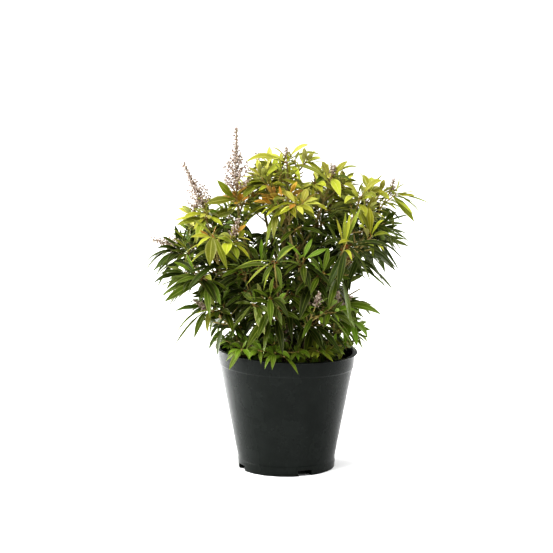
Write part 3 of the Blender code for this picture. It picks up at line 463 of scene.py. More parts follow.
def growSideTwigs(name, mass, made, number, length):
    shoot = made["shoots"][number]
    for j in range(mass.get("finer", sidePlan["count"])):
        rng = random.Random(f"{name} side {number} {j}")
        start = shoot["points"][0].lerp(shoot["points"][-1], rng.uniform(*sidePlan["along"]))
        around = 90 + j * 180 + number * 55 + wander(rng, 30)
        out = swung(shoot["way"], around, rng.uniform(*sidePlan["off"]))
        out = (out + up * 0.2).normalized()
        end = start + out * length * rng.uniform(*sidePlan["length"])
        twig = dict(points=[start, end], radii=sidePlan["radii"], way=(out + up * 0.3).normalized())
        made["twigs"].append(twig)
        made["shoots"].append(dict(twig, scale=rng.uniform(*sidePlan["scale"])))


# Short leafy twigs on the limbs inside the crown
innerPlan = dict(first=0.22, last=0.96, pace=0.011, off=(45, 80), length=(0.014, 0.030),
                 radii=(0.0010, 0.0007), scale=(0.80, 1.15), overRim=0.006)


def growInnerTwigs(name, made):
    limb = made["bough"] or made["twigs"][0]
    whole = sum((b - a).length for a, b in zip(limb["points"], limb["points"][1:]))
    number = max(1, round(whole * (innerPlan["last"] - innerPlan["first"]) / innerPlan["pace"]))
    for i in range(number):
        rng = random.Random(f"{name} inner {i}")
        share = mix(innerPlan["first"], innerPlan["last"], (i + rng.random()) / number)
        start = alongPoints(limb["points"], share)
        ahead = (alongPoints(limb["points"], min(1, share + 0.05)) - start).normalized()
        out = swung(ahead, i * goldenAngle + wander(rng, 25), rng.uniform(*innerPlan["off"]))
        way = (out + up * 0.35).normalized()
        end = start + way * rng.uniform(*innerPlan["length"])
        if end.z < potPlan["height"] + innerPlan["overRim"]:
            continue
        twig = dict(points=[start, end], radii=innerPlan["radii"], way=way)
        made["twigs"].append(twig)
        made["shoots"].append(dict(twig, scale=rng.uniform(*innerPlan["scale"]), inner=True))


# Racemes: side sprays by the length, their reach longest below and short above the full part
racemePlan = dict(least=5, pace=0.0016, shortest=0.0022, longest=0.0046, slope=0.06, fullness=0.42,
                  full=0.74, ragged=(0.45, 1.15), lean=(74, 30))


def growRaceme(name, made, root, way, length, azimuth, tilt):
    lean = heading(azimuth, tilt)
    end = root + lean * length
    axis = curvePoints(root - way * 0.001, way * length * 0.3, end, lean * length * 0.4, 7)
    made["sprays"].append(dict(points=axis, radii=[mix(0.0009, 0.0004, i / 6) for i in range(7)], main=True))
    sprays = racemePlan["least"] + round(length / racemePlan["pace"])
    for i in range(sprays):
        rng = random.Random(f"{name} spray {i}")
        share = 0.04 + 0.96 * i / (sprays - 1)
        start = alongPoints(axis, share)
        out = swung(lean, i * goldenAngle, mix(*racemePlan["lean"], share) + wander(rng, 9))
        reach = min(racemePlan["longest"], racemePlan["shortest"] + length * racemePlan["slope"])
        below = max(0, racemePlan["full"] - share)
        reach += length * racemePlan["fullness"] * below * rng.uniform(*racemePlan["ragged"])
        bend = start + out * reach * 0.5
        tip = bend + (out + up * 0.55).normalized() * reach * 0.5
        made["sprays"].append(dict(points=[start, bend, tip], radii=[0.0005, 0.0004, 0.0003], main=False))


# Leaves: their outline is shaped once on a small grid, then laid along each midrib
leafWidths = dict(lime=0.275, bronze=0.28, fresh=0.29, mid=0.20, dark=0.175)
leafSizes = dict(lime=0.90, bronze=0.86, fresh=0.92, mid=1.0, dark=1.0)
leafPlan = dict(rows=12, keel=0.017, rib=0.005, petiole=0.09, belly=0.58, stalk=0.075,
                tooth=0.045, spacing=1.2, bow=2.0, youngest=22, oldest=94)


def leafOutline(share):
    if share <= leafPlan["petiole"]:
        return leafPlan["stalk"]
    if share < leafPlan["belly"]:
        grown = (share - leafPlan["petiole"]) / (leafPlan["belly"] - leafPlan["petiole"])
        return mix(leafPlan["stalk"], 1.0, math.sin(grown * math.pi / 2) ** 1.25)
    drawn = (share - leafPlan["belly"]) / (1 - leafPlan["belly"])
    return max(0.0, (1 - drawn ** 1.9) * (1 - 0.12 * drawn))


def leafBlade():
    rows = leafPlan["rows"]
    blade = bmesh.new()
    bmesh.ops.create_grid(blade, x_segments=2, y_segments=rows, size=0.5)
    layer = blade.loops.layers.uv.new("leaf")
    for vert in blade.verts:
        row = round((vert.co.y + 0.5) * rows)
        share = (row / rows) ** leafPlan["spacing"]
        across = round(vert.co.x * 2)
        for loop in vert.link_loops:
            loop[layer].uv = (share, 0.25 + 0.25 * across)
        half = leafOutline(share)
        if share > 0.3 and row % 2 and row < rows:
            half *= 1 - leafPlan["tooth"]
        vert.co = (across * half, share, 0.0)
    under = bmesh.ops.duplicate(blade, geom=blade.verts[:] + blade.edges[:] + blade.faces[:])["geom"]
    underFaces = [g for g in under if isinstance(g, bmesh.types.BMFace)]
    bmesh.ops.reverse_faces(blade, faces=underFaces)
    for face in underFaces:
        for loop in face.loops:
            loop[layer].uv.y += 0.5  # the upper half of the map is the underside
    underVerts = {vert for face in underFaces for vert in face.verts}
    for vert in blade.verts:
        if abs(vert.co.x) > 0.001:
            continue
        thin = 1 - 0.75 * vert.co.y
        vert.co.z = -leafPlan["keel"] * thin if vert in underVerts else -leafPlan["rib"] * thin
    for vert in blade.verts:
        if vert.co.y > 0.999:
            vert.co = (0, 1, 0)
    bmesh.ops.remove_doubles(blade, verts=blade.verts, dist=0.0001)
    bmesh.ops.holes_fill(blade, edges=[e for e in blade.edges if e.is_boundary], sides=6)
    return meshFrom("leaf blade", blade)


# A leaf that sinks is drawn in, so that its own length stays
def sunkLength(droop):
    return 1 + 0.4 * droop


def leafPoint(leaf, share):
    drawn = leaf["way"] * share - up * leaf["droop"] * share ** leaf.get("bow", leafPlan["bow"])
    return leaf["root"] + drawn * leaf["length"] / sunkLength(leaf["droop"])


# A three-sided bar drawn to a point stands for the leaf while its place is tried
barFaces = [(0, 3, 1), (3, 4, 1), (1, 4, 2), (4, 5, 2), (2, 5, 0), (5, 3, 0), (0, 1, 2), (3, 6, 4),
            (4, 6, 5), (5, 6, 3)]


def leafBar(leaf, grown=0.0, start=0.0):
    belly = leaf["length"] * leaf["width"] / 2
    corners = []
    for share in (start, leafPlan["belly"]):
        half = mix(0.0006, belly, share / leafPlan["belly"]) + grown
        deep = mix(0.0006, leaf["length"] * leafPlan["keel"], share / leafPlan["belly"]) + grown
        middle = leafPoint(leaf, share)
        corners += [middle + leaf["side"] * half + leaf["face"] * grown,
                    middle - leaf["side"] * half + leaf["face"] * grown,
                    middle - leaf["face"] * deep]
    return corners + [leafPoint(leaf, 1 + grown / leaf["length"])]


def layLeaf(root, way, axis, length, droop, roll):
    side = way.cross(axis).normalized()
    side.rotate(Matrix.Rotation(math.radians(roll), 3, way))
    return dict(root=root, way=way, length=length, droop=droop, side=side, face=side.cross(way).normalized())


# A leaf by rank: the first are the oldest, lowest and longest, and each further try strays a little more
tryPlan = dict(wobble=9, turn=12, stray=(4, 20), inset=0.0015, insetOld=0.014, size=(0.60, 1.08),
               vary=(0.9, 1.08), shrink=0.04, droop=(0.12, 0.55), droopVary=(0.7, 1.3), droopMost=0.95,
               roll=28)


def leafTry(name, mass, number, shoot, rank, attempt):
    rng = random.Random(f"{name} {number} {rank} {attempt}")
    whorl = mass["whorl"]
    if rank < whorl:
        age = 1 - rank / (whorl - 1)
    else:
        age = random.Random(f"{name} {number} {rank} age").uniform(0.05, 1.0)
    width = leafWidths["dark" if shoot.get("inner") else mass["tint"]]
    youngest, oldest = mass.get("upright", leafPlan["youngest"]), mass.get("spread", leafPlan["oldest"])
    plan, (strayOff, strayTurn) = tryPlan, tryPlan["stray"]
    off = mix(youngest, oldest, age ** 0.8) + wander(rng, plan["wobble"]) + attempt * wander(rng, strayOff)
    around = rank * goldenAngle + wander(rng, plan["turn"]) + attempt * wander(rng, strayTurn)
    last, before = shoot["points"][-1], shoot["points"][-2]
    root = last.lerp(before, (plan["inset"] + plan["insetOld"] * age) / (last - before).length)
    fixed = outlineLeaves.get(name, [])
    if number == 0 and rank < len(fixed):
        azimuth, tilt, length, droop = fixed[rank]
        way = heading(azimuth + attempt * wander(rng, 5), tilt + attempt * wander(rng, 3))
        return dict(layLeaf(root, way, up + towardsFront, length, droop, 0), age=1.0, width=width)
    way = swung(shoot["way"], around, off)
    if way.z < 0.1:
        way.z = 0.1 + (way.z - 0.1) * 0.55
        way.normalize()
    length = mass["leaf"] * mix(*plan["size"], age) * rng.uniform(*plan["vary"])
    length = length * (1 - plan["shrink"] * attempt) * (shoot["scale"] * leafSizes[mass["tint"]])
    droop = mix(*plan["droop"], age) * rng.uniform(*plan["droopVary"]) * mass.get("sink", 1.0)
    leaf = layLeaf(root, way, (shoot["way"] + up * 0.7).normalized(), length, min(plan["droopMost"], droop),
                   wander(rng, plan["roll"]))
    return dict(leaf, age=oldPlan["age"] if shoot.get("inner") else age, width=width)


# A leaf told by its tip: the pull along its first way brings the sunk tip to that place
aimedPlan = dict(first=0.001, next=0.0011, retry=0.0006, most=0.95, shift=0.0014, shifts=6, roll=15,
                 age=0.5, bow=2.7)


def aimedLeaf(name, shoot, number, facts, attempt):
    *tip, sinking, width, tint = facts
    droop = sinking / 1000
    rng = random.Random(f"{name} aimed {number} {tint} {attempt}")
    last, before = shoot["points"][-1], shoot["points"][-2]
    plan = aimedPlan
    down = (plan["first"] + plan["next"] * number + plan["retry"] * attempt) / (last - before).length
    root = last.lerp(before, min(plan["most"], down))
    shift = Vector([wander(rng, 1) for _ in range(3)]) * plan["shift"] * min(attempt, plan["shifts"])
    span = inMetres(tip) + shift - root
    fall = droop * span.z
    pull = (fall + math.sqrt(fall ** 2 + (1 - droop ** 2) * span.length_squared)) / (1 - droop ** 2)
    way = ((span + up * droop * pull) / pull).normalized()
    leaf = layLeaf(root, way, (up + towardsFront * 0.5).normalized(), pull * sunkLength(droop), droop,
                   wander(rng, plan["roll"]))
    return dict(leaf, age=plan["age"], width=width / 1000, tint=tint, bow=plan["bow"])


# Last year's leaves stand off round the fork
oldPlan = dict(off=(62, 104), turn=20, back=(0.0, 0.009), size=(0.95, 1.2), shrink=0.05, droop=(0.25, 0.75),
               roll=22, age=1.2)


def oldLeafTry(name, mass, made, rank, attempt):
    rng = random.Random(f"{name} old {rank} {attempt}")
    plan = oldPlan
    off = rng.uniform(*plan["off"])
    way = swung(made["way"], rank * goldenAngle + wander(rng, plan["turn"]), off)
    if way.z < 0.0:
        way.z *= 0.6
        way.normalize()
    root = made["fork"] - made["way"] * rng.uniform(*plan["back"])
    length = mass["leaf"] * rng.uniform(*plan["size"]) * (1 - plan["shrink"] * attempt)
    leaf = layLeaf(root, way, (made["way"] + up * 0.9).normalized(), length, rng.uniform(*plan["droop"]),
                   wander(rng, plan["roll"]))
    return dict(leaf, age=plan["age"], width=leafWidths["dark"])


def potInTheWay(point):
    near = 0.0015
    rim = potPlan["height"] - potPlan["sag"] * point.x / potPlan["lip"]
    radius = math.hypot(point.x, point.y)
    if point.z > rim + near or radius > potPlan["lip"] + near:
        return False
    inner = potPlan["wallTop"] - potPlan["wall"] - 0.001 - near
    return radius > inner or point.z < potPlan["compostTop"] + near


def inSkyGap(leaf):
    for share in (0.25, 0.45, 0.65, 0.80, 0.92, 1.0):
        point = leafPoint(leaf, share)
        seen = photoEye.lerp(point, -photoEye.y / (point.y - photoEye.y))
        if any(left < seen.x < right and low < seen.z < high for left, low, right, high in skyGaps):
            return True
    return False


class Crown:
    def __init__(self):
        self.beads = []
        self.cells = {}
        self.leaves = []

    # Beads along a limb, tested against every leaf near them
    def string(self, limb, owner):
        for a, b, ra, rb in zip(limb["points"], limb["points"][1:], limb["radii"], limb["radii"][1:]):
            steps = max(1, math.ceil((b - a).length / crownPlan["beadStep"]))
            for i in range(steps + 1):
                self.beads.append((a.lerp(b, i / steps), mix(ra, rb, i / steps), owner))

    def settle(self):
        self.tree = kdtree.KDTree(len(self.beads))
        for i, bead in enumerate(self.beads):
            self.tree.insert(bead[0], i)
        self.tree.balance()

    def cell(self, place):
        return tuple(int(c // crownPlan["cell"]) for c in place)

    def near(self, place):
        x, y, z = self.cell(place)
        for i in range(-1, 2):
            for j in range(-1, 2):
                for k in range(-1, 2):
                    yield from self.cells.get((x + i, y + j, z + k), ())

    def takes(self, leaf, owner, massName, centre, reach, aimed=False):
        corners = leafBar(leaf)
        for corner in corners:
            if (corner - centre).length > reach or not crownPlan["left"] < corner.x < crownPlan["right"]:
                return False
            if abs(corner.y) > crownPlan["depth"]:
                return False
        if not aimed and inSkyGap(leaf):
            return False
        tip = corners[-1]
        if tip.z < crownPlan["lowest"] and math.hypot(tip.x, tip.y) > potPlan["lip"] + crownPlan["overhang"]:
            return False
        if min(leaf["root"].z, tip.z) < potPlan["height"] + 0.02:
            for corner in corners:
                if any(potInTheWay(corner.lerp(tip, i / 8)) for i in range(9)):
                    return False
                if any(potInTheWay(leaf["root"].lerp(corner, i / 8)) for i in range(3, 9)):
                    return False
        whole = BVHTree.FromPolygons(leafBar(leaf, crownPlan["apart"]), barFaces)
        outer = BVHTree.FromPolygons(leafBar(leaf, crownPlan["touch"], crownPlan["stalkFree"]), barFaces)
        middle = (leaf["root"] + tip) / 2
        size = leaf["length"] * crownPlan["leafSpan"]
        for place, index, _ in self.tree.find_range(middle, size + crownPlan["beadNear"]):
            _, radius, beadOwner = self.beads[index]
            test = outer if aimed or beadOwner == massName else whole
            if test.find_nearest(place, radius + woodPlan["clearance"])[0] is not None:
                return False
        for other in self.near(middle):
            if (other["middle"] - middle).length > size + other["size"]:
                continue
            if other["owner"] == owner:
                if not aimed and outer.overlap(other["outer"]):
                    return False
            elif whole.overlap(other["whole"]):
                return False
        laid = dict(leaf, owner=owner, mass=massName, middle=middle, size=size, whole=whole, outer=outer)
        self.leaves.append(laid)
        self.cells.setdefault(self.cell(middle), []).append(laid)
        return True


def growPlant():
    stems = {name: growStem(facts) for name, facts in stemPlan.items()}
    frames = {name: growFrame(name, mass, stems[mass["stem"]]) for name, mass in massPlan.items()}
    growBasalShoots(frames)
    crown = Crown()
    for name, stem in stems.items():
        crown.string(stem, f"stem {name}")
    for name, made in frames.items():
        if made["bough"]:
            crown.string(made["bough"], f"bough {name}")
        for twig in made["twigs"] + made["sprays"]:
            crown.string(twig, name)
    crown.settle()
    for name, groups in rosettes.items():
        for group, (shoot, (_, aimed)) in enumerate(zip(frames[name]["rosettes"], groups)):
            for number, facts in enumerate(aimed):
                for attempt in range(crownPlan["aimedTries"]):
                    leaf = aimedLeaf(name, shoot, number, facts, attempt)
                    if crown.takes(leaf, f"{name} rosette {group}", name, leaf["root"], 1.0, aimed=True):
                        break
    for rank in range(max(mass["whorl"] + mass.get("more", 0) for mass in massPlan.values())):
        for name, mass in massPlan.items():
            centre = Vector(mass["at"])
            reach = mass["leaf"] * crownPlan["reach"][0] + crownPlan["reach"][1]
            more = mass.get("more", crownPlan["more"])
            led = name in rosettes and rosettes[name][0][0] is None
            for number, shoot in enumerate(frames[name]["shoots"]):
                most = mass["whorl"] + more - (0 if shoot["scale"] == 1.0 else crownPlan["sideLess"])
                if shoot.get("inner"):
                    most = crownPlan["innerLeaves"]
                if rank >= most or led and number == 0 and rank < len(rosettes[name][0][1]):
                    continue
                room = 1.0 if shoot.get("basal") or shoot.get("inner") else reach
                for attempt in range(crownPlan["tries"]):
                    leaf = leafTry(name, mass, number, shoot, rank, attempt)
                    if crown.takes(leaf, f"{name} {number}", name, centre, room):
                        break
            if rank < mass.get("old", crownPlan["old"]):
                for attempt in range(crownPlan["tries"]):
                    leaf = oldLeafTry(name, mass, frames[name], rank, attempt)
                    if crown.takes(leaf, f"{name} old", name, centre, reach + crownPlan["oldReach"]):
                        break
    return stems, frames, crown.leaves


stems, frames, leaves = growPlant()
print(f"grown: {len(leaves)} leaves on {sum(len(made['shoots']) for made in frames.values())} shoots")


# Materials
def newMaterial(name, roughness=0.5):
    material = bpy.data.materials.new(name)
    material.use_nodes = True
    shader = material.node_tree.nodes["Principled BSDF"]
    shader.inputs["Roughness"].default_value = roughness
    return material, material.node_tree, shader


def addNode(tree, kind, inputs=None, **settings):
    made = tree.nodes.new(kind)
    for key, value in settings.items():
        setattr(made, key, value)
    for key, value in (inputs or {}).items():
        if isinstance(value, bpy.types.NodeSocket):
            tree.links.new(value, made.inputs[key])
        else:
            made.inputs[key].default_value = value
    return made


def mathNode(tree, operation, *values):
    return addNode(tree, "ShaderNodeMath", dict(enumerate(values)), operation=operation).outputs[0]


def mixColour(tree, share, a, b):
    made = tree.nodes.new("ShaderNodeMix")
    made.data_type = "RGBA"
    for key, value in (("Factor", share), ("A", a), ("B", b)):
        socket = next(s for s in made.inputs if s.name == key and s.enabled)
        if isinstance(value, bpy.types.NodeSocket):
            tree.links.new(value, socket)
        else:
            socket.default_value = value
    return next(s for s in made.outputs if s.enabled)


def ramp(tree, value, low, high):
    return addNode(tree, "ShaderNodeMapRange", {0: value, 1: low, 2: high}, clamp=True).outputs[0]


def weighed(tree, base, *parts):
    total = base
    for value, weight in parts:
        total = mathNode(tree, "MULTIPLY_ADD", value, weight, total)
    return total


def objectPlace(tree):
    return addNode(tree, "ShaderNodeTexCoord").outputs["Object"]


def noiseNode(tree, place, scale, detail, roughness=0.5):
    return addNode(tree, "ShaderNodeTexNoise", {"Vector": place, "Scale": scale, "Detail": detail,
                                                "Roughness": roughness}).outputs[0]


def dress(tree, shader, colour, height, strength, distance, roughness=None):
    bump = addNode(tree, "ShaderNodeBump", {"Height": height, "Strength": strength, "Distance": distance})
    tree.links.new(bump.outputs[0], shader.inputs["Normal"])
    tree.links.new(colour, shader.inputs["Base Color"])
    if roughness:
        tree.links.new(roughness, shader.inputs["Roughness"])


leafColours = {
    "lime": dict(blade=(0.290, 0.305, 0.030), rib=(0.44, 0.42, 0.12), under=(0.31, 0.34, 0.09), edge=0.22),
    "pale": dict(blade=(0.400, 0.400, 0.075), rib=(0.50, 0.47, 0.18), under=(0.40, 0.41, 0.14), edge=0.22),
    "olive": dict(blade=(0.165, 0.188, 0.018), rib=(0.33, 0.32, 0.09), under=(0.22, 0.25, 0.07), edge=0.22),
    "bronze": dict(blade=(0.370, 0.210, 0.030), rib=(0.46, 0.24, 0.09), under=(0.34, 0.25, 0.06), edge=0.15),
    "fresh": dict(blade=(0.115, 0.180, 0.014), rib=(0.28, 0.34, 0.08), under=(0.20, 0.27, 0.07), edge=0.20),
    "mid": dict(blade=(0.060, 0.088, 0.006), rib=(0.21, 0.24, 0.05), under=(0.13, 0.17, 0.04), edge=0.15),
    "dark": dict(blade=(0.026, 0.040, 0.003), rib=(0.12, 0.15, 0.03), under=(0.07, 0.095, 0.02), edge=0.12),
    "cream": dict(blade=(0.280, 0.360, 0.110), rib=(0.52, 0.52, 0.26), under=(0.32, 0.38, 0.14), edge=0.95),
}


# The blade's map has its length in u, and its width in v: the upper side up to 0.5, the underside above
def leafMaterial(name, colours):
    material, tree, shader = newMaterial(f"leaf {name}")
    uv = addNode(tree, "ShaderNodeUVMap", uv_map="leaf").outputs[0]
    parts = addNode(tree, "ShaderNodeSeparateXYZ", {0: uv})
    share, height = parts.outputs[0], parts.outputs[1]
    under = mathNode(tree, "GREATER_THAN", height, 0.5)
    offRib = mathNode(tree, "ABSOLUTE", mathNode(tree, "SUBTRACT", mathNode(
        tree, "PINGPONG", height, 0.25), 0.25))
    ribbed = ramp(tree, offRib, 0.035, 0.008)
    veins = mathNode(tree, "SINE", weighed(tree, 0.0, (share, 88.0), (offRib, -30.8)))
    mottle = noiseNode(tree, objectPlace(tree), 95.0, 4.0, 0.6)
    shade = addNode(tree, "ShaderNodeAttribute", attribute_name="leafShade").outputs["Fac"]
    blade = mixColour(tree, under, (*colours["blade"], 1), (*colours["under"], 1))
    varied = addNode(tree, "ShaderNodeHueSaturation", {
        "Color": blade, "Hue": weighed(tree, 0.488, (shade, 0.024)),
        "Value": weighed(tree, 0.46, (shade, 0.55), (mottle, 0.5), (veins, 0.035))}).outputs[0]
    margin = mathNode(tree, "MULTIPLY", ramp(tree, offRib, 0.165, 0.235), colours["edge"])
    edged = mixColour(tree, margin, varied, (0.62, 0.58, 0.28, 1))
    veined = mixColour(tree, mathNode(tree, "MULTIPLY", ribbed, 0.65), edged, (*colours["rib"], 1))
    stalk = mathNode(tree, "MULTIPLY", ramp(tree, share, 0.14, 0.06), 0.7)
    finished = mixColour(tree, stalk, veined, (0.25, 0.06, 0.022, 1))
    dress(tree, shader, finished, weighed(tree, 0.0, (ribbed, -0.5), (veins, 0.22)), 0.35, 0.0006,
          weighed(tree, 0.27, (under, 0.22), (mottle, 0.22)))
    shader.inputs["Specular IOR Level"].default_value = 0.16
    return material


def finishPiece(piece, material, nodes=()):
    piece.data.materials.clear()
    piece.data.materials.append(material)
    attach(piece, "root")
    if nodes:
        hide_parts(*nodes)


# A leaf's tint goes by its mass, its age and its spray: above 1.1 the age stands for last year's leaves,
# whose tint also goes by their height in the crown
def tintOf(leaf):
    if "tint" in leaf:
        return leaf["tint"]
    mass = massPlan[leaf["mass"]]
    own, age = mass["tint"], leaf["age"]
    dealt = random.Random(f"tint {leaf['owner']}").random()
    if age > 1.1:
        # last year's leaves are dark green of their own, but are tinted lighter high in the crown and
        # darkest low down: painted light from above and painted shade below
        if leaf["root"].z > 0.335:
            return "olive" if dealt < 0.45 else "lime"
        return "dark" if dealt < 0.65 and leaf["root"].z < 0.31 else "mid"
    if age < mass.get("youth", 0.16) and "young" in mass:
        return mass["young"]
    if own == "lime":
        if age < 0.55:
            return "pale" if dealt < 0.55 else "lime"
        return "lime" if age < 0.8 or dealt < 0.5 else "olive"
    if own == "bronze":
        return "lime" if age < 0.6 else "olive"
    if own == "fresh":
        return "fresh" if dealt < 0.8 else "olive"
    if own == "mid":
        return ("olive" if dealt < 0.5 else "fresh") if age < 0.3 else "mid"
    if age < 0.22:
        return "olive" if dealt < 0.4 else "fresh"
    return "mid" if age < 0.5 or dealt < 0.2 else "dark"


# Each leaf is the one blade bent along its midrib, folded, twisted and rippled a little
bladePlan = dict(width=(0.88, 1.12), bend=0.07, twist=24, fold=(4, 22), wave=0.010, waves=16)


def layBlades(blade, leaves):
    count = len(blade.vertices)
    flat = np.empty(count * 3)
    blade.vertices.foreach_get("co", flat)
    flat = flat.reshape(-1, 3)
    across, share, lift = flat[:, 0:1], flat[:, 1:2], flat[:, 2:3]
    places, shades = [], []
    for i, leaf in enumerate(leaves):
        rng = random.Random(f"{leaf['owner']} blade {i}")
        way, side = np.array(leaf["way"]), np.array(leaf["side"])
        root, droop, bow = np.array(leaf["root"]), leaf["droop"], leaf.get("bow", leafPlan["bow"])
        drawn = leaf["length"] / sunkLength(droop)
        half = leaf["length"] * leaf["width"] / 2 * rng.uniform(*bladePlan["width"])
        bend, twist = wander(rng, bladePlan["bend"]), math.radians(wander(rng, bladePlan["twist"]))
        fold, wave = math.radians(rng.uniform(*bladePlan["fold"])), rng.uniform(0.0, bladePlan["wave"])
        phase = rng.uniform(0, 6.28)
        sunk = np.array(up) * droop * share ** bow
        middle = root + (way * share - sunk + side * bend * share ** 2) * drawn
        tangent = way - np.array(up) * bow * droop * share ** (bow - 1) + side * 2 * bend * share
        tangent /= np.linalg.norm(tangent, axis=1, keepdims=True)
        square = side - tangent * (tangent @ side)[:, None]
        square /= np.linalg.norm(square, axis=1, keepdims=True)
        normal = np.cross(square, tangent)
        turn = twist * share
        sideways = square * np.cos(turn) + normal * np.sin(turn)
        upward = normal * np.cos(turn) - square * np.sin(turn)
        waves = np.sin(share * bladePlan["waves"] + phase + across)
        rippled = wave * leaf["length"] * waves * np.abs(across)
        spot = middle + sideways * across * half * math.cos(fold)
        spot += upward * (np.abs(across) * half * math.sin(fold) + lift * leaf["length"] + rippled)
        places.append(spot)
        shades.append(np.full(count, rng.random()))
    return np.concatenate(places), np.concatenate(shades)


# All leaves of a tint in one piece, with the blade's map and a shade of its own for each leaf
def joinLeaves(name, blade, leaves):
    places, shades = layBlades(blade, leaves)
    corners = np.empty(len(blade.loops), dtype=np.int32)
    blade.loops.foreach_get("vertex_index", corners)
    starts = np.empty(len(blade.polygons), dtype=np.int32)
    blade.polygons.foreach_get("loop_start", starts)
    uv = np.empty(len(blade.loops) * 2)
    blade.uv_layers["leaf"].data.foreach_get("uv", uv)
    copies = len(leaves)
    step = np.arange(copies, dtype=np.int32)[:, None]
    mesh = bpy.data.meshes.new(name)
    mesh.vertices.add(len(places))
    mesh.vertices.foreach_set("co", places.ravel())
    mesh.loops.add(len(corners) * copies)
    mesh.loops.foreach_set("vertex_index", (corners[None, :] + step * len(blade.vertices)).ravel())
    mesh.polygons.add(len(starts) * copies)
    mesh.polygons.foreach_set("loop_start", (starts[None, :] + step * len(corners)).ravel())
    mesh.update(calc_edges=True)
    mesh.uv_layers.new(name="leaf").data.foreach_set("uv", np.tile(uv, copies))
    mesh.attributes.new("leafShade", "FLOAT", "POINT").data.foreach_set("value", shades)
    mesh.validate()
    return addPiece(name, mesh, sharp=70)


def makeFoliage():
    blade = leafBlade()
    byTint = {tint: [] for tint in leafColours}
    for leaf in leaves:
        byTint[tintOf(leaf)].append(leaf)
    for tint, own in byTint.items():
        piece = joinLeaves(f"leaves_{tint}", blade, own)
        nodes = [f"foliage_{name}" for name, mass in massPlan.items() if mass["tint"] == tint]
        finishPiece(piece, leafMaterial(tint, leafColours[tint]), nodes)
        print(f"leaves_{tint}: {len(own)} leaves")


makeFoliage()


# Wood: a disc pushed out from point to point, its skin raised in ridges and knots
barkPlan = dict(ring=0.0028, sides=12, ridge=0.00022, knot=0.00025)


def spacedPoints(limb, step):
    points, radii = [], []
    for a, b, ra, rb in zip(limb["points"], limb["points"][1:], limb["radii"], limb["radii"][1:]):
        count = max(1, round((b - a).length / step))
        for i in range(count):
            points.append(a.lerp(b, i / count))
            radii.append(mix(ra, rb, i / count))
    return points + [limb["points"][-1]], radii + [limb["radii"][-1]]


def limbShape(shape, limb, sides, step):
    points, radii = spacedPoints(limb, step)
    own = bmesh.new()
    bmesh.ops.create_circle(own, cap_ends=True, segments=sides, radius=1.0)
    own.faces.ensure_lookup_table()
    end = own.faces[0]
    way = (points[1] - points[0]).normalized()
    turn = up.rotation_difference(way).to_matrix()
    local = {vert: vert.co.copy() for vert in end.verts}
    for vert in end.verts:
        vert.co = points[0] + turn @ local[vert] * radii[0]
    for i in range(1, len(points)):
        ahead = points[min(i + 1, len(points) - 1)] - points[i - 1]
        turn = way.rotation_difference(ahead.normalized()).to_matrix()
        way = ahead.normalized()
        offsets = [(vert.co - points[i - 1]) / radii[i - 1] for vert in end.verts]
        if i == 1:
            grown = bmesh.ops.extrude_face_region(own, geom=[end])["geom"]
            end = next(g for g in grown if isinstance(g, bmesh.types.BMFace))
        else:
            end = bmesh.ops.extrude_discrete_faces(own, faces=[end])["faces"][0]
        for vert, offset in zip(end.verts, offsets):
            vert.co = points[i] + turn @ offset * radii[i]
    bmesh.ops.recalc_face_normals(own, faces=own.faces)
    mesh = meshFrom("limb", own)
    shape.from_mesh(mesh)
    bpy.data.meshes.remove(mesh)


def limbsPiece(name, limbs, sides, step):
    shape = bmesh.new()
    for limb in limbs:
        limbShape(shape, limb, sides, step)
    return addPiece(name, meshFrom(name, shape), sharp=60)


def woodMaterial(name, dark, light, roughness, scale, young=None):
    material, tree, shader = newMaterial(name, roughness)
    place = objectPlace(tree)
    stretched = addNode(tree, "ShaderNodeMapping", {"Vector": place, "Scale": (1, 1, 0.22)}).outputs[0]
    grain = noiseNode(tree, stretched, scale, 6.0, 0.65)
    patches = noiseNode(tree, place, 40.0, 3.0)
    share = ramp(tree, weighed(tree, 0.0, (grain, 0.7), (patches, 0.3)), 0.38, 0.62)
    colour = mixColour(tree, share, (*dark, 1), (*light, 1))
    if young:  # greener above, where the wood is this year's
        height = addNode(tree, "ShaderNodeSeparateXYZ", {0: place}).outputs[2]
        level = mathNode(tree, "MULTIPLY_ADD", patches, 0.05, height)
        colour = mixColour(tree, ramp(tree, level, 0.22, 0.32), colour, mixColour(
            tree, share, (*young[0], 1), (*young[1], 1)))
    dress(tree, shader, colour, grain, 0.6, 0.0008)
    return material


def makeWood():
    boughs = {name: made["bough"] for name, made in frames.items() if made["bough"]}
    limbs = list(stems.values()) + list(boughs.values())
    wood = limbsPiece("stems_and_boughs", limbs, barkPlan["sides"], barkPlan["ring"])
    normals = [v.normal.copy() for v in wood.data.vertices]
    for vert, normal in zip(wood.data.vertices, normals):
        place = vert.co
        ridges = noise.noise(Vector((place.x * 900, place.y * 900, place.z * 120)))
        knots = noise.noise(place * 260)
        vert.co = place + normal * (ridges * barkPlan["ridge"] + knots * barkPlan["knot"])
    nodes = [f"stem_{name}" for name in stems] + [f"bough_{name}" for name in boughs]
    bark = woodMaterial("bark", (0.050, 0.026, 0.016), (0.20, 0.125, 0.075), 0.8, 420.0,
                        young=((0.16, 0.12, 0.035), (0.34, 0.29, 0.11)))
    finishPiece(wood, bark, nodes)
    twigs = limbsPiece("twigs", [twig for made in frames.values() for twig in made["twigs"]], 7, 0.004)
    finishPiece(twigs, woodMaterial("young shoots", (0.17, 0.115, 0.035), (0.38, 0.32, 0.11), 0.55, 260.0))
    print("wood: stems, boughs and twigs")


makeWood()

# Bud sprays: nodding urn-shaped buds in two ranks along thin stalks, sparser on a raceme's main stalk
budPlan = dict(length=0.0034, radius=0.0013, spacing=0.0017, mainSpacing=1.8, first=0.15, mainFirst=0.45,
               off=(55, 100), size=(0.75, 1.15), tipSize=0.7)


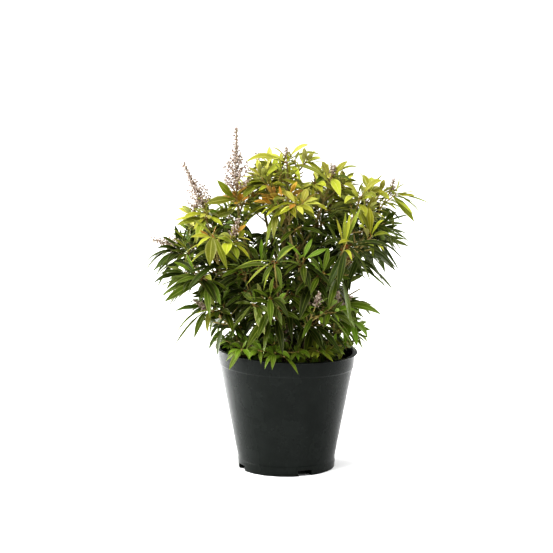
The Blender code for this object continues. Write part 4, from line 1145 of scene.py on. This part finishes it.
def budShape():
    bud = bmesh.new()
    bmesh.ops.create_uvsphere(bud, u_segments=6, v_segments=5, radius=1.0)
    for vert in bud.verts:
        low = (1 - vert.co.z) / 2
        squeeze = 1 - 0.45 * low ** 2
        vert.co = (vert.co.x * squeeze * budPlan["radius"], vert.co.y * squeeze * budPlan["radius"],
                   vert.co.z * budPlan["length"] / 2 - budPlan["length"] * 0.45)
    return meshFrom("bud", bud)


def makeBuds():
    bud = budShape()
    shape = bmesh.new()
    sprays = [(name, spray) for name, made in frames.items() for spray in made["sprays"]]
    count = 0
    for number, (name, spray) in enumerate(sprays):
        rng = random.Random(f"{name} buds {number}")
        points = spray["points"]
        whole = sum((b - a).length for a, b in zip(points, points[1:]))
        pace = budPlan["spacing"] * (budPlan["mainSpacing"] if spray["main"] else 1.0)
        first = budPlan["mainFirst" if spray["main"] else "first"]
        total = max(2, round(whole * (1 - first) / pace))
        way = (points[-1] - points[0]).normalized()
        for i in range(total):
            share = first + (1 - first) * i / (total - 1)
            out = swung(way, (i % 2) * 180 + i * 25 + wander(rng, 30), rng.uniform(*budPlan["off"]))
            hang = (out * 0.8 - up * rng.uniform(0.0, 0.9)).normalized()
            turn = (-up).rotation_difference(hang).to_matrix().to_4x4()
            size = rng.uniform(*budPlan["size"])
            size *= mix(1.0, budPlan["tipSize"], share) if spray["main"] else 1.0
            place = Matrix.Translation(alongPoints(points, share) + out * 0.0004)
            before = len(shape.verts)
            shape.from_mesh(bud)
            shape.verts.ensure_lookup_table()
            bmesh.ops.transform(shape, matrix=place @ turn @ Matrix.Scale(size, 4),
                                verts=shape.verts[before:])
            count += 1
    mesh = meshFrom("flower_buds", shape)
    mesh.shade_smooth()
    buds = addPiece("flower_buds", mesh)
    material, tree, shader = newMaterial("flower buds", 0.55)
    tones = noiseNode(tree, objectPlace(tree), 320.0, 2.0)
    colour = mixColour(tree, ramp(tree, tones, 0.35, 0.65), (0.23, 0.15, 0.13, 1), (0.42, 0.37, 0.30, 1))
    tree.links.new(colour, shader.inputs["Base Color"])
    finishPiece(buds, material)
    stalks = limbsPiece("bud_stalks", [spray for _, spray in sprays], 5, 0.004)
    finishPiece(stalks, woodMaterial("bud stalks", (0.17, 0.10, 0.065), (0.34, 0.29, 0.17), 0.6, 300.0))
    print(f"flower buds: {count} on {len(sprays)} sprays")


makeBuds()


# Pot: spun from its half section, then cut with the drainage channels
channelPlan = dict(width=0.019, height=0.0070, start=0.020, angles=(22.5, 112.5, 202.5, 292.5), drain=0.0045)


def potSection():
    p = potPlan
    innerTop = p["wallTop"] - p["wall"]
    innerFoot = p["wallFoot"] - p["wall"]
    bandFoot = p["height"] - p["bandDepth"]
    lipRound = p["lipThick"] / 2
    lip = [(p["lip"] - lipRound + lipRound * math.sin(a), p["height"] - lipRound + lipRound * math.cos(a))
           for a in (0, 0.6, 1.2, 1.8, 2.4, math.pi)]
    return [(innerTop + 0.0030, p["height"])] + lip + [
        (p["band"] + 0.0005, p["height"] - p["lipThick"]),
        (p["band"], p["height"] - p["lipThick"] - 0.0005),
        (p["band"] - p["bandTaper"] / 2, mix(p["height"], bandFoot, 0.5)),
        (p["band"] - p["bandTaper"], bandFoot + 0.0005),
        (p["band"] - p["bandTaper"] - 0.0004, bandFoot - 0.0003),
        (p["wallTop"] + 0.0003, bandFoot - 0.0010),
        (p["wallTop"], bandFoot - 0.0018),
        (mix(p["wallTop"], p["wallFoot"], 0.5), mix(bandFoot, p["skirtHeight"], 0.5)),
        (p["wallFoot"], p["skirtHeight"] + 0.0010),
        (p["skirt"] - 0.0001, p["skirtHeight"] + 0.0001),
        (p["skirt"], p["skirtHeight"] - 0.0006),
        (p["skirt"] - 0.0006, 0.0006),
        (p["skirt"] - 0.0012, 0.0),
        (0.0, 0.0),
        (0.0, p["floor"]),
        (p["skirt"] - p["wall"] - 0.0008, p["floor"]),
        (p["skirt"] - p["wall"], p["skirtHeight"]),
        (innerFoot, p["skirtHeight"] + 0.0012),
        (innerTop, bandFoot - 0.0015),
        (innerTop + 0.0012, p["height"] - 0.0015),
    ]


def boxTool(turned, near, far, width, low, high):
    box = bmesh.new()
    bmesh.ops.create_cube(box, size=1)
    bmesh.ops.scale(box, vec=(far - near, width, high - low), verts=box.verts)
    bmesh.ops.translate(box, vec=((near + far) / 2, 0, (low + high) / 2), verts=box.verts)
    bmesh.ops.transform(box, matrix=turned, verts=box.verts)
    return box


def toolObject(name, shape, collection):
    tool = bpy.data.objects.new(name, meshFrom(name, shape))
    collection.objects.link(tool)
    return tool


def makePot():
    p, c = potPlan, channelPlan
    shell = bmesh.new()
    section = potSection()
    ring = [shell.verts.new((radius, 0, height)) for radius, height in section]
    edges = [shell.edges.new((a, b)) for a, b in zip(ring, ring[1:] + ring[:1]) if a.co.x or b.co.x]
    bmesh.ops.spin(shell, geom=ring + edges, cent=(0, 0, 0), axis=(0, 0, 1), angle=math.tau,
                   steps=p["sides"], use_merge=True, use_duplicate=False)
    bmesh.ops.remove_doubles(shell, verts=shell.verts, dist=0.00002)
    bmesh.ops.recalc_face_normals(shell, faces=shell.faces)
    for vert in shell.verts:
        vert.co.z -= p["sag"] * (vert.co.x / p["lip"]) * (vert.co.z / p["height"])
    pot = addPiece("nursery_pot", meshFrom("nursery_pot", shell))
    ridges = bpy.data.collections.new("pot ridges")
    channels = bpy.data.collections.new("pot channels")
    for angle in c["angles"]:
        turned = Matrix.Rotation(math.radians(angle), 4, "Z")
        toolObject("ridge", boxTool(turned, c["start"], p["skirt"] - 0.0014, c["width"] + 2 * p["wall"],
                                    0.0006, c["height"] + p["wall"]), ridges)
        toolObject("channel", boxTool(turned, c["start"] + p["wall"], p["skirt"] + 0.006, c["width"],
                                      -0.002, c["height"]), channels)
        drain = bmesh.new()
        bmesh.ops.create_cone(drain, cap_ends=True, segments=24, radius1=c["drain"], radius2=c["drain"],
                              depth=0.02)
        bmesh.ops.translate(drain, vec=((c["start"] + p["skirt"]) / 2, 0, 0.008), verts=drain.verts)
        bmesh.ops.transform(drain, matrix=turned, verts=drain.verts)
        toolObject("drain", drain, channels)
    for operation, tools in (("UNION", ridges), ("DIFFERENCE", channels)):
        modifier = pot.modifiers.new(operation.lower(), "BOOLEAN")
        modifier.operation = operation
        modifier.operand_type = "COLLECTION"
        modifier.collection = tools
        modifier.solver = "EXACT"
    bpy.context.view_layer.update()
    cut = bpy.data.meshes.new_from_object(pot.evaluated_get(bpy.context.evaluated_depsgraph_get()))
    pot.modifiers.clear()
    pot.data = cut
    for tools in (ridges, channels):
        for tool in list(tools.objects):
            bpy.data.objects.remove(tool)
        bpy.data.collections.remove(tools)
    pot.data.shade_smooth()
    pot.data.set_sharp_from_angle(angle=math.radians(35))
    finishPiece(pot, potMaterial(), ["pot"])
    print("pot: shell, lip, band, skirt and channels")


def potMaterial():
    material, tree, shader = newMaterial("pot plastic")
    place = objectPlace(tree)
    flow = addNode(tree, "ShaderNodeMapping", {"Vector": place, "Scale": (1, 1, 0.12)}).outputs[0]
    streaks = noiseNode(tree, flow, 60.0, 5.0)
    dust = noiseNode(tree, place, 24.0, 8.0, 0.7)
    grain = noiseNode(tree, place, 1400.0, 2.0)
    colour = mixColour(tree, ramp(tree, dust, 0.40, 0.75), (0.0068, 0.0090, 0.0074, 1),
                       (0.013, 0.016, 0.014, 1))
    dress(tree, shader, colour, mathNode(tree, "MULTIPLY_ADD", grain, 0.2, streaks), 0.16, 0.0006,
          weighed(tree, 0.17, (streaks, 0.10), (dust, 0.10)))
    shader.inputs["Specular IOR Level"].default_value = 0.16
    return material


makePot()

# Compost: a crumbly skin on the filling, with bark chips lying on it
compostPlan = dict(foot=0.0105, rings=34, sectors=90, clear=0.0022, below=0.0008, crumbs=150, high=0.0016,
                   drop=0.0004, chips=520, chipLong=(0.002, 0.007), chipWide=(0.0015, 0.0035),
                   chipThick=(0.0008, 0.0018), chipSunk=0.0012, chipTilt=0.3)


def makeCompost():
    p, plan = potPlan, compostPlan
    share = (p["compostTop"] - p["skirtHeight"]) / (p["height"] - p["bandDepth"] - p["skirtHeight"])
    top = mix(p["wallFoot"], p["wallTop"], share) - p["wall"] - plan["clear"]
    foot = mix(p["wallFoot"], p["wallTop"], 0.015) - p["wall"] - plan["clear"]
    heap = bmesh.new()
    bmesh.ops.create_cone(heap, cap_ends=True, segments=plan["sectors"], radius1=foot, radius2=top,
                          depth=p["compostTop"] - plan["foot"] - plan["below"])
    bmesh.ops.translate(heap, vec=(0, 0, (p["compostTop"] + plan["foot"] - plan["below"]) / 2),
                        verts=heap.verts)
    level = max(vert.co.z for vert in heap.verts)
    lid = next(face for face in heap.faces if all(abs(v.co.z - level) < 1e-6 for v in face.verts))
    for _ in range(plan["rings"] - 1):
        bmesh.ops.inset_region(heap, faces=[lid], thickness=top / plan["rings"] * 0.999,
                               use_even_offset=False)
        lid = min((f for f in heap.faces if f.normal.z > 0.9),
                  key=lambda f: f.calc_center_median().xy.length)
    heap.normal_update()
    for vert in heap.verts:
        if vert.co.z > level - 1e-5:
            rough = noise.fractal(vert.co * plan["crumbs"], 0.7, 2.0, 4)
            vert.co.z += plan["high"] * rough - plan["drop"]
    bmesh.ops.triangulate(heap, faces=[f for f in heap.faces if len(f.verts) > 4])
    chip = bmesh.new()
    bmesh.ops.create_cube(chip, size=1)
    bmesh.ops.bevel(chip, geom=chip.edges[:], offset=0.12, affect="EDGES", segments=1, profile=0.5,
                    material=-1)
    chipMesh = meshFrom("chip", chip)
    rng = random.Random("compost chips")
    for _ in range(plan["chips"]):
        around, out = rng.uniform(0, math.tau), top * 0.96 * math.sqrt(rng.random())
        spot = Vector((out * math.cos(around), out * math.sin(around), p["compostTop"] - plan["chipSunk"]))
        size = Vector([rng.uniform(*plan[side]) for side in ("chipLong", "chipWide", "chipThick")])
        turn = Matrix.Rotation(rng.uniform(0, math.tau), 4, "Z")
        turn @= Matrix.Rotation(wander(rng, plan["chipTilt"]), 4, "X")
        before = len(heap.verts)
        heap.from_mesh(chipMesh)
        heap.verts.ensure_lookup_table()
        bmesh.ops.transform(heap, verts=heap.verts[before:],
                            matrix=Matrix.Translation(spot) @ turn @ Matrix.Diagonal((*size, 1)))
    compost = addPiece("compost_surface", meshFrom("compost_surface", heap), sharp=40)
    finishPiece(compost, woodMaterial("compost", (0.010, 0.006, 0.004), (0.060, 0.034, 0.019), 0.95, 180.0),
                ["compost"])
    print("compost: crumbly surface and chips")


makeCompost()

# Stage, light and camera
viewPlan = dict(distance=4.0, elevation=10.2, aim=(-0.0131, 0.0, 0.2575), focal=3009.0, frameWidth=553.0,
                sensor=36.0)


def makeStage():
    floor = bmesh.new()
    bmesh.ops.create_grid(floor, x_segments=1, y_segments=1, size=30)
    ground = addPiece("floor", meshFrom("floor", floor))
    ground.location.z = -0.0005
    material, _, shader = newMaterial("pale floor", 0.9)
    shader.inputs["Base Color"].default_value = (0.92, 0.92, 0.92, 1)
    shader.inputs["Specular IOR Level"].default_value = 0.0
    ground.data.materials.append(material)


def addLight(name, place, size, power, target=None):
    lamp = bpy.data.lights.new(name, "AREA")
    lamp.size = size
    lamp.energy = power
    light = bpy.data.objects.new(name, lamp)
    light.location = place
    aim = Vector(target or viewPlan["aim"]) - Vector(place)
    light.rotation_euler = aim.to_track_quat("-Z", "Y").to_euler()
    bpy.context.scene.collection.objects.link(light)


# World brightness level with the eye and overhead, then each lamp's place, size, power and target
studioPlan = dict(horizon=0.30, zenith=1.25, lights={
    "key": ((-1.3, -1.6, 2.7), 1.3, 62),
    "back left": ((-1.9, 0.45, 0.7), 2.2, 62),
    "back right": ((2.0, 1.1, 0.7), 1.2, 22),
    "low left": ((-0.62, 0.34, 0.24), 0.24, 3.2, (-0.27, 0.10, 0.0)),
})


def makeStudio():
    world = bpy.data.worlds.new("studio")
    bpy.context.scene.world = world
    world.use_nodes = True
    tree = world.node_tree
    way = addNode(tree, "ShaderNodeTexCoord").outputs[0]
    height = addNode(tree, "ShaderNodeSeparateXYZ", {0: way}).outputs[2]
    glow = addNode(tree, "ShaderNodeMapRange", {0: height, 1: -0.05, 2: 0.9, 3: studioPlan["horizon"],
                                                4: studioPlan["zenith"]}, clamp=True).outputs[0]
    tree.links.new(glow, tree.nodes["Background"].inputs["Strength"])
    tree.nodes["Background"].inputs["Color"].default_value = (1, 1, 1, 1)
    for name, light in studioPlan["lights"].items():
        addLight(name, *light)
    bpy.context.scene.view_settings.view_transform = "Standard"
    bpy.context.scene.view_settings.look = "High Contrast"
    elevation = math.radians(viewPlan["elevation"])
    aim = Vector(viewPlan["aim"])
    camera = bpy.data.objects.new("camera", bpy.data.cameras.new("camera"))
    camera.data.sensor_width = viewPlan["sensor"]
    camera.data.lens = viewPlan["focal"] / viewPlan["frameWidth"] * viewPlan["sensor"]
    camera.data.clip_end = 100.0
    camera.location = aim + viewPlan["distance"] * Vector((0, -math.cos(elevation), math.sin(elevation)))
    camera.rotation_euler = (math.radians(90) - elevation, 0, 0)
    bpy.context.scene.collection.objects.link(camera)
    bpy.context.scene.camera = camera
    print("stage, lights and camera")


makeStage()
makeStudio()

bpy.context.view_layer.update()
